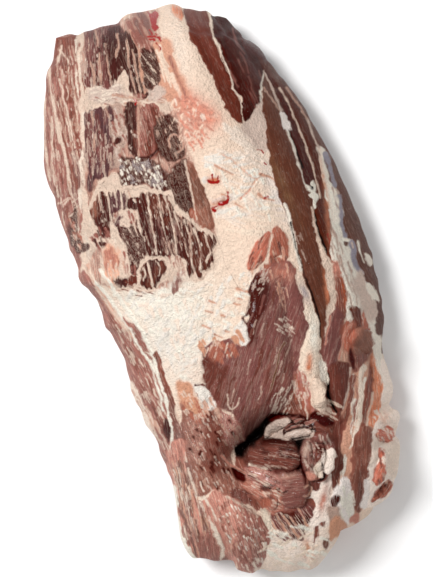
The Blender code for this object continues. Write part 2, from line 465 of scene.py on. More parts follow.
@dataclass
class Canvas:
    """What is known of each point of a surface while the layers are laid on it.

    Attributes:
        pixels: The point's place on the picture plane.
        wavering: The same, shaken a little, which makes outlines uneven.
        swing: How much wider or narrower a line is there.
        field: How far it lies inside lean meat, in picture steps; fat is below 0.
        soft: The width of the change between lean and fat there.
        wet: How wet it is, 0 to 1.
        blood: How far it lies inside a stain of blood.
        relief: How far it stands out, in millimetres.
        lean, fat: The colours that it has as lean and as fat.
        grain: Its place along and across the fibres, and the layer's own number.
        figure: How strong fibres, marbling and speckle are.
    """

    pixels: Array

    def __post_init__(self) -> None:
        """Starts with fat everywhere."""
        count = len(self.pixels)
        self.field = np.full(count, -FAR)
        self.soft = np.full(count, 1.2)
        self.wet = np.full(count, 0.1)
        self.blood = np.full(count, -FAR)
        self.relief = np.zeros(count)
        self.lean = np.tile(Tone.RIB_BROWN.linear, (count, 1))
        self.fat = np.tile(Tone.SHEET.linear, (count, 1))
        self.grain = np.column_stack([self.pixels[:, 1], self.pixels[:, 0], np.zeros(count)]) * STEP
        self.figure = np.tile([0.5, 0.2, 0.0], (count, 1))
        waver = [lattice_noise(self.pixels, 9.0, seed) * 1.5 + lattice_noise(self.pixels, 4.0, seed + 2)
                 for seed in (21, 22)]
        self.wavering = self.pixels + np.column_stack(waver)
        self.swing = 1 + 0.45 * lattice_noise(self.pixels, 5.0, 25)

    def near(self, outline: Array, margin: float = FAR, pool: Array | None = None) -> Array:
        """Returns the numbers of the points in a box round an outline, of all or of a pool."""
        low, high = outline.min(axis=0) - margin, outline.max(axis=0) + margin
        pixels = self.pixels if pool is None else self.pixels[pool]
        x, y = pixels.T
        found = np.flatnonzero((x > low[0]) & (x < high[0]) & (y > low[1]) & (y < high[1]))
        return found if pool is None else pool[found]


@dataclass(frozen=True)
class Patch:
    """One muscle, strip, seam or pad of fat, laid over those before it.

    Attributes:
        name: What it is.
        tone: Its colour.
        outline: Its outline, or the path of a line.
        line: The width of a line at its start, or 0 for an outline.
        line_end: The width of a line at its end, or 0 for the same.
        tissue: Lean or fat.
        run: Which way its fibres run.
        soft: How wide its change to what is round it is.
        fade: How wide the change of its colour is.
        speckle, wet: How strong these are in it.
        puff: How far it stands out in the middle, in millimetres.
        rim: How far in from its edge it reaches that height.
        fringe: How far its edge frays along the fibres, in picture steps.
        stain: True for a change of colour in lean meat only.
    """

    name: str
    tone: Tone
    outline: Flat
    line: float = 0.0
    line_end: float = 0.0
    tissue: Tissue = Tissue.LEAN
    run: tuple[float, float] = (0.1, 1.0)
    soft: float = 1.6
    fade: float = 2.0
    speckle: float = 0.0
    wet: float = 0.15
    puff: float = 0.0
    rim: float = 5.0
    fringe: float = 0.0
    stain: bool = False

    def depth(self, points: Array, swing: Array | float = 1.0) -> Array:
        """Returns how deep points lie in it: below 0 outside, the signed distance to its edge."""
        if self.line:
            gap, share = nearest(points, round_curve(pairs(self.outline)))
            end = self.line_end or self.line
            return (self.line + (end - self.line) * share) / 2 * swing - gap
        curve = round_curve(pairs(self.outline), closed=True, steps=4)
        gap, _ = nearest(points, np.vstack([curve, curve[:1]]))
        return np.where(inside(points, curve), gap, -gap)

    def lay(self, canvas: Canvas, number: int, pool: Array | None = None) -> None:
        """Lays it on the canvas.

        Lean widens the field to the greater of both depths, and fat cuts it to the lesser. Its
        colour and figure take over where its depth passes 0, a little outside for its edge.

        Args:
            canvas: The canvas.
            number: The layer's own number.
            pool: The only points that it can touch, or None for any.
        """
        near = canvas.near(pairs(self.outline), FAR + self.soft + self.line, pool)
        if not len(near):
            return
        points = canvas.pixels[near]
        along, across = self.fibres(points)
        shaken = LINE_SHAKE if self.line else 1.0
        points = points + (canvas.wavering[near] - points) * shaken
        depth = self.depth(points, canvas.swing[near])
        if self.fringe:
            depth += self.fringe * lattice_noise(np.column_stack([across, along / 7]), 1.3, 31)
        hold = smooth_step(depth, -0.5 - self.fade, 0.5)
        if self.stain:
            self.tint(canvas.lean, near, hold * 0.8)
            return
        if self.tissue is Tissue.LEAN:
            held = (depth > -1.0) | ((depth > -6.0) & (canvas.field[near] < -3.0))
            own = np.full(len(near), number * LAYER_GAP)
            canvas.grain[near[held]] = np.column_stack([along, across, own])[held]
            canvas.field[near] = np.maximum(canvas.field[near], np.clip(depth, -FAR, FAR))
            self.tint(canvas.lean, near, hold)
            figure = np.array([*self.tone.value[1:], self.speckle])
            canvas.figure[near] += (figure - canvas.figure[near]) * hold[:, None]
            canvas.figure[near] *= smooth_step(np.abs(depth + 1.0), 0.3, 1.6)[:, None]
        else:
            canvas.field[near] = np.minimum(canvas.field[near], -np.clip(depth, -FAR, FAR))
            self.tint(canvas.fat, near, hold)
        edge = smooth_step(depth, -4.0 - self.soft, -0.5)
        canvas.soft[near] += (self.soft - canvas.soft[near]) * edge
        canvas.wet[near] += (self.wet - canvas.wet[near]) * hold
        if self.puff:
            rim = self.line / 2 if self.line else self.rim
            share = np.clip(depth / rim, 0, 1)
            canvas.relief[near] += self.puff * np.sqrt(1 - (1 - share) ** 2)

    def tint(self, colours: Array, near: Array, hold: Array) -> None:
        """Mixes its colour in by hold."""
        colours[near] += (self.tone.linear - colours[near]) * hold[:, None]

    def fibres(self, points: Array) -> tuple[Array, Array]:
        """Returns the places of points along and across its fibres, in millimetres."""
        ahead = np.array(self.run) / np.hypot(*self.run)
        return points @ ahead * STEP, points @ np.array([-ahead[1], ahead[0]]) * STEP


@dataclass(frozen=True)
class Blush:
    """A soft stain of another colour: x, y, half length, half width, heading in degrees.

    Attributes:
        tone: Its colour.
        spot: Where it is.
        strength: How much of it there is in the middle.
        tissue: What it stains.
    """

    tone: Tone
    spot: tuple[float, float, float, float, float]
    strength: float = 0.6
    tissue: Tissue = Tissue.FAT

    def lay(self, canvas: Canvas, number: int) -> None:
        """Mixes its colour in by strength * exp(-(along/length)^2 - (across/width)^2), mottled."""
        x, y, length, width, heading = self.spot
        turn = math.radians(heading)
        offset = canvas.pixels - (x, y)
        along = (offset @ (math.cos(turn), math.sin(turn))) / length
        across = (offset @ (-math.sin(turn), math.cos(turn))) / width
        hold = self.strength * np.exp(-along ** 2 - across ** 2)
        hold *= 1 + 0.45 * lattice_noise(canvas.pixels, 4.0, number)
        colours = canvas.lean if self.tissue is Tissue.LEAN else canvas.fat
        colours += (self.tone.linear - colours) * np.clip(hold, 0, 1)[:, None]


@dataclass(frozen=True)
class Stain:
    """A drop or smear of blood, as an outline or a line of a width."""

    outline: Flat
    line: float = 0.0

    def lay(self, canvas: Canvas, number: int) -> None:
        """Widens the blood to the greater of both depths."""
        near = canvas.near(pairs(self.outline))
        if len(near):
            shape = Patch("stain", Tone.BLOOD, self.outline, line=self.line)
            depth = np.clip(shape.depth(canvas.wavering[near]), -FAR, FAR)
            canvas.blood[near] = np.maximum(canvas.blood[near], depth)


@dataclass(frozen=True)
class Streaks:
    """Many short lines scattered in an outline, all along one run.

    Attributes:
        tone: Their colour.
        outline: The outline in which they start.
        count, length, width: How many, and about how long and wide.
        run: Which way they lie.
        tissue: Lean or fat.
        loose: True for lean streaks that also lie on fat.
        puff: How far they stand out, in millimetres.
    """

    tone: Tone
    outline: Flat
    count: int
    length: float
    width: float
    run: tuple[float, float] = (0.1, 1.0)
    tissue: Tissue = Tissue.FAT
    loose: bool = False
    puff: float = 0.0

    def lay(self, canvas: Canvas, number: int) -> None:
        """Lays each streak as a bent line that thins out to its end."""
        outline = round_curve(pairs(self.outline), closed=True)
        pool = canvas.near(outline, 12.0 + self.length * 1.6)
        if not len(pool):
            return
        random = np.random.default_rng(number)
        starts = random.uniform(outline.min(axis=0), outline.max(axis=0), (self.count * 4, 2))
        starts = starts[inside(starts, outline)][:self.count]
        ahead = np.array(self.run) / np.hypot(*self.run)
        side = np.array([-ahead[1], ahead[0]])
        stain = self.tissue is Tissue.LEAN and not self.loose
        for start in starts:
            length, width = random.uniform(0.5, 1.5, 2) * (self.length, self.width)
            bend = random.uniform(-0.07, 0.07, 2) * length
            path = np.array([start, start + ahead * length / 2 + side * bend[0],
                             start + ahead * length + side * bend[1]])
            Patch("streak", self.tone, path, line=width, line_end=width / 3,
                  tissue=self.tissue, run=self.run, fade=0.8, stain=stain,
                  puff=self.puff).lay(canvas, number, pool)


Layer = Patch | Blush | Stain | Streaks


def fat(name: str, tone: Tone, outline: Flat, **looks: object) -> Patch:
    """Makes a patch of fat."""
    return Patch(name, tone, outline, tissue=Tissue.FAT, **looks)


def seam(name: str, tone: Tone, width: float, path: Flat, **looks: object) -> Patch:
    """Makes a thin line of fat or sinew."""
    looks.setdefault("fade", 0.8)
    return Patch(name, tone, path, line=width, tissue=Tissue.FAT, **looks)


def strand(name: str, tone: Tone, width: float, path: Flat, **looks: object) -> Patch:
    """Makes a thin line of lean meat, or a dark gap."""
    looks.setdefault("fade", 0.8)
    return Patch(name, tone, path, line=width, **looks)


FAT_FIELDS: tuple[Layer, ...] = (
    Blush(Tone.SHEET_PALE, (178, 45, 40, 14, 80), 0.7),
    Blush(Tone.MEMBRANE, (278, 196, 30, 9, 70), 0.75),
    Blush(Tone.WHITE_FAT, (165, 300, 62, 44, 60), 0.95),
    Blush(Tone.GREY_FAT, (172, 345, 42, 26, 65), 0.8),
    Blush(Tone.LOW_FAT, (296, 545, 40, 30, 0), 0.9),
)

GROUNDS: tuple[Layer, ...] = (
    Patch("rib side ground", Tone.GROUND, "84,30 100,26 120,18 140,10 158,8 158,30 161,45 166,62 170,78 "
        "174,96 180,112 184,128 188,150 194,166 204,190 214,218 217,240 212,262 202,280 188,272 176,262 "
        "168,286 150,291 132,290 112,290 96,280 90,262 84,240 82,200 82,140 81,90", soft=5.0,
        run=(0.08, 1)),
    Patch("right flank ground", Tone.LAYER_E, "236,20 262,40 290,80 318,124 346,176 372,236 384,280 "
        "388,320 386,352 370,350 352,330 340,300 326,262 316,228 300,190 280,150 268,110 260,80 244,50",
        soft=2.0, run=(0.4, 1)),
    Patch("low right ground", Tone.TAN, "330,340 352,320 372,340 382,360 386,392 380,420 376,450 372,480 "
        "366,506 350,520 338,490 334,440 332,400 326,372", soft=4.0, run=(0.02, 1)),
    Patch("left strips ground", Tone.LEFT, "82,268 92,282 104,300 118,318 136,340 152,358 162,380 "
        "170,404 178,420 182,450 186,480 176,500 160,470 146,436 128,396 112,352 96,316 78,286", soft=3.0,
        run=(0.45, 1)),
    Patch("pocket ground", Tone.LEFT_DARK, "300,380 316,376 330,392 340,420 340,450 334,480 318,512 "
        "296,520 262,514 244,500 236,470 240,440 270,410", soft=2.5, run=(0.4, 1)),
)

LEFT_FLANK: tuple[Layer, ...] = (
    Patch("left flank muscle", Tone.LEFT, "54,34 66,28 79,30 80,60 80,100 81,130 82,160 84,190 85,215 "
        "84,232 82,250 80,268 84,288 74,284 60,250 50,220 42,190 36,165 34,140 36,105 40,80 46,62",
        soft=2.0, run=(0.06, 1.0), puff=1.0),
    Patch("flank dark strip", Tone.LEFT_DARK, "60,40 76,38 79,70 79,100 78,130 78,160 78,200 73,206 "
        "70,180 67,150 62,124 57,96 54,76", fade=5.0, fringe=2.0, run=(0.1, 1)),
    Streaks(Tone.LEFT, "58,44 76,42 79,80 80,140 76,190 68,150 56,90", 26, 22, 3.0, (0.12, 1),
        Tissue.LEAN),
    Patch("flank lilac strip", Tone.FAN_GREY, "76,150 80,150 82,180 83,206 77,208 75,180", fade=3.0,
        fringe=1.5),
    *(seam("flank white line", Tone.SEAM, width, path, line_end=end, wet=0.2, fringe=0.6)
      for width, end, path in ((3.0, 2.0, "49,66 50,84 53,100 55,114 57,128 60,142"),
          (2.2, 1.4, "51,118 52,140 52,160 54,178 58,196"),
          (2.0, 2.6, "57,118 61,136 64,150 67,166 69,182 72,198"),
          (1.6, 1.6, "45,98 45,130 46,156 50,180"), (1.8, 1.2, "62,46 59,56 56,66"),
          (1.4, 1.0, "60,50 66,58 70,64"), (1.5, 1.2, "60,80 64,100 70,124 75,148"),
          (1.4, 1.2, "72,70 74,90 76,110 78,130"), (1.4, 1.2, "66,118 70,134 73,150 75,164"),
          (1.4, 1.0, "72,196 76,206 80,214"))),
    *(Streaks(tone, "52,60 78,42 80,140 82,210 74,240 52,165 47,100", count, 10, width, (0.2, 1))
      for tone, count, width in ((Tone.LEFT_PALE, 60, 0.8), (Tone.SEAM, 36, 0.6))),
    Streaks(Tone.LEFT_DARK, "50,60 76,42 78,140 80,210 72,240 52,180 46,110", 60, 12, 1.8, (0.15, 1),
        Tissue.LEAN),
    Streaks(Tone.SEAM, "58,200 70,196 78,206 68,218 62,216", 9, 9, 1.2, (1, -0.6)),
    fat("rib seam", Tone.SEAM, "78,33 82,32 83,46 82,66 83,84 84,100 85,120 86,146 86,170 87,196 91,214 "
        "96,232 98,246 90,256 84,244 82,226 82,206 81,180 81,150 80,120 79,98 79,80 78,60 78,46",
        fade=2.0, puff=0.7, run=(0.05, 1), fringe=1.6),
    Streaks(Tone.PALE_SEAM, "79,36 83,36 86,150 92,236 86,240 82,150 79,90", 20, 24, 2.6, (0.04, 1)),
    Patch("flank crumbs", Tone.RIB_DARK, "74,209 76,212 77,222 79,230 82,236 83,242 88,247 88,251 82,252 "
        "76,249 72,243 70,235 71,224 72,215", speckle=0.4, puff=-0.8, fringe=1.6),
    Streaks(Tone.ISLE, "72,214 78,226 84,244 74,244", 12, 5, 1.6, (0.4, 1), Tissue.LEAN),
    Streaks(Tone.SEAM, "72,222 78,226 82,244 74,246", 9, 4, 0.9, (0.8, 1)),
)

RIB_ROWS: tuple[Layer, ...] = (
    Patch("row one muscle", Tone.RIB, "84,33 92,30 100,27 110,25 119,23 121,30 122,40 121,50 119,60 "
        "120,75 118,87 113,84 111,75 110,88 106,90 104,86 100,87 95,89 90,90 87,88 85,70 86,60 84,50 "
        "84,40", run=(0.0, 1.0), puff=0.8, fringe=3.0),
    Patch("row one dark column", Tone.RIB_DARK, "110,30 119,27 120,45 119,62 119,82 112,84 109,66 109,50",
        fade=3.0, run=(0, 1), fringe=1.5),
    Streaks(Tone.RIB_DARK, "92,34 108,30 108,74 104,84 92,82 92,50", 14, 18, 3.4, (0.03, 1), Tissue.LEAN),
    Streaks(Tone.DULL, "85,48 92,48 96,80 86,82", 9, 14, 1.8, (0.03, 1)),
    *(seam("row one line", Tone.LEFT_PALE, 1.5, path, fringe=0.8)
      for path in ("88,38 89,56 93,74 94,88", "99,54 100,70 101,88", "95,30 97,38 97,46",
          "106,44 107,62 110,76 113,89", "118,34 118,46 116,56")),
    Patch("row one wedge", Tone.WEDGE, "125,34 131,37 135,46 138,60 141,72 144,86 147,98 138,99 131,90 "
        "127,82 123,72 120,60 120,48", run=(0.25, 1.0), puff=0.8, fringe=3.0),
    *(seam("wedge line", Tone.LEFT_PALE, 1.5, path, fringe=0.8)
      for path in ("127,40 128,56 131,76 137,96", "132,50 135,66 139,84 142,98")),
    Patch("criss-cross muscle", Tone.WEDGE, "142,50 147,47 153,50 158,60 160,70 160,80 157,86 153,84 "
        "150,92 148,98 144,86 141,70 140,58", run=(0.5, 1.0), soft=2.0, speckle=0.2, fringe=1.2),
    Streaks(Tone.SEAM, "140,50 150,48 160,60 162,80 150,92 144,84 139,64", 18, 7, 0.7, (0.9, 1)),
    seam("tan line by the wedge", Tone.SALMON, 2.4, "130,30 134,40 138,50 139,62 142,78 145,92",
        line_end=3.0, fringe=1.0),
    Streaks(Tone.RIB_BROWN, "122,24 131,18 142,12 147,20 147,40 136,38 126,30", 14, 15, 3.4, (0.45, 1),
        Tissue.LEAN, loose=True),
    Streaks(Tone.FAN_GREY, "130,18 142,12 147,28 136,28", 11, 12, 3.0, (0.4, 1), Tissue.LEAN, loose=True),
    fat("peach column", Tone.PEACH, "154,44 166,40 172,58 180,76 186,92 190,104 176,110 162,106 158,92 "
        "162,76 158,60", fade=6.0),
    Streaks(Tone.SHEET, "156,44 168,42 176,70 176,96 164,90 158,66", 9, 18, 2.6, (0.36, 1)),
    # Painted shade: a brown line down a shallow groove in the peach column.
    strand("peach column groove", Tone.RIB_BROWN, 2.0, "170,58 175,70 179,80 183,90 186,98", soft=4.0,
        puff=-0.8),
    fat("tan ground of the bar", Tone.SEAM, "84,92 96,86 112,90 119,76 124,72 128,84 136,98 150,96 "
        "160,98 170,104 172,110 140,108 116,106 86,110", fade=3.0, fringe=1.5, run=(0, 1)),
    fat("bar under row one", Tone.LILAC, "90,92 98,87 108,89 118,86 120,92 118,99 104,101 94,99",
        fade=3.5, puff=0.8, fringe=1.5, run=(1, 0)),
    Streaks(Tone.PALE_SEAM, "88,92 122,84 132,98 100,102", 16, 9, 1.3, (1, -0.2)),
    Streaks(Tone.LEFT_PALE, "86,94 120,90 166,98 166,108 98,108", 22, 9, 2.6, (1, 0.2)),
    Streaks(Tone.RIB_BROWN, "90,94 120,90 168,98 160,108 98,108", 24, 7, 1.1, (1, 0.3), Tissue.LEAN,
        loose=True),
    fat("film by the curve", Tone.LILAC, "150,90 158,86 163,92 160,99 153,101", fade=3.0, fringe=1.5),
    Patch("row two muscle", Tone.ROW_TWO, "86,112 95,109 104,107 110,108 114,120 113,128 112,140 115,150 "
        "113,160 110,172 103,178 97,180 90,190 88,170 86,150 86,130", run=(0.02, 1.0), puff=0.9,
        fringe=2.5),
    Streaks(Tone.RIB, "88,114 110,110 112,130 112,162 98,174 90,150", 22, 18, 4.0, (0.05, 1),
        Tissue.LEAN),
    Streaks(Tone.DULL, "88,114 112,112 112,150 104,172 90,170", 24, 9, 1.3, (0.08, 1)),
    *(seam("row two line", Tone.LEFT_PALE, 1.5, path, fringe=0.8)
      for path in ("105,108 109,120 111,134", "92,112 94,130 94,150")),
    fat("row two grey band", Tone.DULL, "112,106 119,106 123,112 125,125 128,133 127,144 120,150 120,164 "
        "114,168 113,145 112,130 114,120", fade=3.0, fringe=2.0, run=(0.1, 1)),
    Streaks(Tone.LILAC, "113,108 122,110 126,140 118,160 113,140", 20, 5, 1.4, (0.3, 1)),
    Streaks(Tone.RIB_BROWN, "113,110 124,112 128,140 119,162 113,140", 16, 7, 2.2, (0.5, 1), Tissue.LEAN,
        loose=True),
    Patch("row two red-brown", Tone.WEDGE, "125,106 128,103 134,101 138,104 138,118 137,130 137,158 "
        "131,150 128,140 128,125 126,115", run=(0.1, 1), puff=0.5, fringe=1.6),
    Patch("row two brown", Tone.RIB_BROWN, "139,106 150,104 158,108 160,120 161,135 160,150 155,156 "
        "148,158 140,158 138,150 138,130", run=(0.25, 1), puff=0.8, fringe=1.6),
    Streaks(Tone.CRISS, "140,110 156,108 160,126 160,150 142,152", 17, 16, 3.6, (0.1, 1), Tissue.LEAN),
    seam("row two tan line", Tone.LEFT_PALE, 1.3, "138,102 138,120 139,140 138,158", fringe=1.2),
    strand("row two dark border", Tone.RIB_DARK, 2.2, "131,150 137,158 145,158 152,155 159,149", soft=1.5,
        puff=-0.6),
    Patch("row two speckled", Tone.SPECK, "158,118 166,113 175,118 178,130 180,140 183,150 180,158 "
        "172,160 165,158 160,150", run=(0.35, 1), speckle=0.2, puff=0.6, fringe=1.2, soft=2.0),
    Streaks(Tone.LEFT_PALE, "160,112 174,112 182,150 176,158 162,150", 16, 5, 0.7, (0.5, 1)),
    seam("brown ring", Tone.LEFT_PALE, 1.4, "170,148 169,140 174,135 181,139 183,147 178,152"),
    Patch("row two small dark", Tone.RIB_DARK, "115,137 119,137 121,142 116,143", soft=1.5),
    Patch("glint patch", Tone.FAN_DARK, "119,160 124,158 138,160 146,158 152,162 158,165 165,172 168,185 "
        "163,191 155,191 150,186 130,186 121,185 118,178 120,170", run=(0.3, 1), soft=2.0, speckle=0.2,
        wet=0.5, puff=0.5, fringe=1.5),
    # Painted highlights: small white glints on the wet glint patch.
    Streaks(Tone.WHITE_FAT, "119,160 146,160 164,172 167,186 155,190 121,184", 70, 2.2, 1.5, (0.6, 1)),
    # Painted highlights: tiny lilac glints over the rib rows and the fan.
    Streaks(Tone.LILAC, "88,34 118,30 158,60 158,80 112,112 164,150 190,180 150,186 112,170 90,176", 80,
        2.0, 0.8, (0.3, 1)),
    Patch("speckled muscle", Tone.SPECK, "172,170 178,164 184,160 186,170 189,185 192,200 194,212 "
        "192,218 187,219 181,213 175,206 170,199 167,190 168,180", run=(0.35, 1), speckle=0.25, puff=0.6,
        fringe=1.0),
    Patch("diagonal muscle", Tone.DIAGONAL, "188,163 195,170 199,182 204,193 208,205 212,216 215,228 "
        "206,230 200,224 197,217 195,207 193,195 190,183 187,172", run=(0.4, 1), puff=1.2),
    Streaks(Tone.DIAGONAL_DARK, "190,168 196,174 208,208 212,222 204,222 196,204", 14, 20, 2.6, (0.38, 1),
        Tissue.LEAN),
    Patch("diagonal red", Tone.ISLE, "190,211 195,211 195,218 191,218", soft=2.0),
    seam("diagonal line", Tone.SEAM, 1.5, "185,161 187,175 190,185 192,195 194,206 197,219", puff=0.4),
)

RIB_FAN: tuple[Layer, ...] = (
    fat("fan ground", Tone.SEAM, "91,205 95,195 98,185 103,180 110,174 116,172 121,187 134,186 150,188 "
        "160,191 168,190 174,202 188,216 200,226 212,233 219,241 216,252 214,264 208,276 198,282 190,276 "
        "180,268 176,276 160,284 146,292 121,290 112,290 103,284 101,262 100,248 92,242 90,226", fade=2.0,
        fringe=1.5, run=(0.1, 1)),
    Patch("fan left part", Tone.FAN_DARK, "90,206 94,200 100,193 108,194 114,191 124,192 128,200 124,210 "
        "117,214 113,222 112,232 106,236 98,233 94,224", run=(0.12, 1), puff=0.9, fringe=3.0, soft=2.5),
    Blush(Tone.DIAGONAL, (94, 205, 12, 4, 84), 1.0, Tissue.LEAN),
    Patch("fan main part", Tone.FAN_DARK, "129,200 134,195 148,194 160,195 168,196 174,208 186,220 "
        "196,228 208,234 216,242 214,252 211,262 206,272 199,278 194,272 190,276 184,262 174,256 160,257 "
        "152,258 144,252 139,236 137,220 136,210 130,210", run=(0.25, 1), puff=1.2, fringe=3.0, soft=2.5),
    *(Streaks(tone, outline, 12, 22, 4.0, (0.24, 1), Tissue.LEAN)
      for tone, outline in ((Tone.FAN, "148,194 158,194 176,214 176,232 160,226"),
          (Tone.FAN_GREY, "150,214 172,214 184,240 178,252 156,246"),
          (Tone.FAN, "184,222 206,234 208,254 190,250"),
          (Tone.RIB_DARK, "138,202 148,202 150,250 142,240"),
          (Tone.RIB_DARK, "160,226 186,226 196,250 188,258 162,248"),
          (Tone.RIB_DARK, "98,198 120,196 118,210 106,230 98,226"),
          (Tone.ROW_TWO, "108,192 126,194 122,208 112,210"))),
    *(seam("fan line", Tone.SEAM, width * 0.8, path, line_end=end * 0.7, puff=0.4, fringe=0.7)
      for width, end, path in ((2.2, 1.4, "97,188 100,198 103,212"),
          (2.2, 2.6, "106,190 109,204 111,218 114,234"), (1.8, 1.4, "113,188 116,198 117,208"),
          (1.8, 1.4, "119,186 121,198 123,208"), (2.0, 1.6, "126,188 127,200 126,212"),
          (3.2, 2.0, "135,200 137,212 139,226 142,238 146,252"),
          (2.0, 1.5, "147,190 149,206 151,222 155,240 156,254"),
          (2.0, 1.5, "157,192 160,206 163,222 166,240 168,254"),
          (2.4, 1.8, "165,196 168,210 172,222 175,238 177,254"),
          (2.2, 1.8, "174,212 179,226 184,240 188,256"),
          (1.8, 2.4, "184,220 189,236 192,250 192,262 196,276"),
          (2.0, 2.0, "193,228 198,240 200,254 200,270"), (1.8, 2.4, "204,234 207,244 210,252 206,262"))),
    # Painted highlights: tiny pale glints over the fan's wet muscle.
    Streaks(Tone.PALE_SEAM, "94,196 120,192 168,196 206,234 206,270 160,256 130,250 100,230", 60, 1.8,
        0.7, (0.3, 1)),
    Streaks(Tone.LEFT_PALE, "96,196 120,190 150,192 170,202 200,232 206,256 184,250 160,244 138,232 "
        "120,212 100,216", 22, 12, 0.8, (0.22, 1)),
    fat("fan arch", Tone.SEAM, "113,234 112,222 116,214 122,209 128,210 132,214 134,222 128,228 120,228 "
        "118,236", fade=3.0, fringe=1.5, run=(0.2, 1)),
    Streaks(Tone.RIB_BROWN, "114,212 132,212 134,226 116,234", 16, 7, 2.0, (0.3, 1), Tissue.LEAN,
        loose=True),
    Patch("fan arch strip", Tone.ROW_TWO, "116,226 117,218 122,213 125,214 121,220 119,228", soft=2.5),
    Patch("fan oval", Tone.RIB_DARK, "128,201 133,200 137,205 137,210 131,210 128,206", soft=1.4,
        puff=-0.6),
    Patch("fan speckled", Tone.RIB_DARK, "119,227 127,225 134,226 139,234 143,242 145,250 147,256 "
        "142,262 139,276 135,276 131,264 127,252 122,240", run=(0.4, 1), speckle=0.35, fringe=2.2),
    Streaks(Tone.SEAM, "120,228 136,226 146,250 138,270 126,250", 18, 4, 0.7, (0.5, 1)),
    Streaks(Tone.RIB_BROWN, "121,248 130,254 134,276 124,272", 9, 7, 1.6, (0.2, 1), Tissue.LEAN,
        loose=True),
    Streaks(Tone.RIB_BROWN, "92,230 108,230 108,248 94,248", 18, 6, 3.0, (0.6, 1), Tissue.LEAN,
        loose=True),
    Streaks(Tone.RIB_DARK, "96,228 106,230 106,242 96,244", 8, 5, 2.6, (0.3, 1), Tissue.LEAN, loose=True),
    Patch("fan salmon", Tone.SALMON, "107,247 113,245 119,248 121,258 121,270 118,280 115,283 113,276 "
        "111,272 113,285 110,290 106,284 103,272 104,262 103,254", fade=3.0, puff=0.8, soft=3.0,
        run=(0.2, 1), fringe=2.0),
    Streaks(Tone.MIDDLE_TOP, "104,248 118,248 120,262 108,272", 16, 10, 1.8, (0.1, 1), Tissue.LEAN),
    Streaks(Tone.SEAM, "104,252 112,250 114,276 108,284", 7, 12, 1.6, (0.1, 1)),
    Patch("fan dark red", Tone.RIB_DARK, "113,280 118,276 124,279 128,276 129,283 126,287 118,285",
        soft=2.5, fringe=1.6, run=(0.1, 1)),
    Patch("fan dark red two", Tone.CRISS, "130,278 134,275 138,278 136,285 131,284", soft=2.0,
        fringe=1.5),
    Streaks(Tone.CRISS, "116,284 144,284 148,291 122,292", 10, 7, 2.2, (1, 0.4), Tissue.LEAN, loose=True),
    fat("fan lobe rim", Tone.SEAM, "143,262 150,257 160,256 168,260 171,268 167,278 160,284 152,290 "
        "144,291 140,285 138,275 140,267", fade=2.0),
    Patch("fan lobe", Tone.RIB_DARK, "145,264 152,260 160,260 167,264 168,270 164,276 160,281 154,286 "
        "147,288 142,284 141,276 142,268", run=(0.2, 1), puff=1.2, fringe=1.5),
    Streaks(Tone.FAN, "143,262 166,260 166,276 146,284", 12, 9, 3.0, (-0.2, 1), Tissue.LEAN),
    *(seam("fan lobe line", Tone.SEAM, 1.7, path, fringe=0.8)
      for path in ("148,262 150,274 152,286", "156,260 160,268 159,276", "144,268 146,274 144,280")),
    Streaks(Tone.RIB_BROWN, "164,258 182,258 186,270 172,276", 12, 7, 1.4, (0.2, 1), Tissue.LEAN,
        loose=True),
    Patch("grey mark", Tone.FAN_GREY, "174,281 177,277 182,279 183,284 179,286 178,292 174,294", soft=3.0,
        fringe=2.0),
    Blush(Tone.DULL, (178, 283, 11, 9, 80), 0.6),
    seam("fan border", Tone.SEAM, 3.0, "90,208 93,198 99,186 108,178 117,175 121,186 132,187 142,187 "
        "150,189 158,192 166,193 170,200 178,210 186,217 192,222 200,229 212,234", line_end=2.0, puff=0.7,
        fringe=1.0),
)

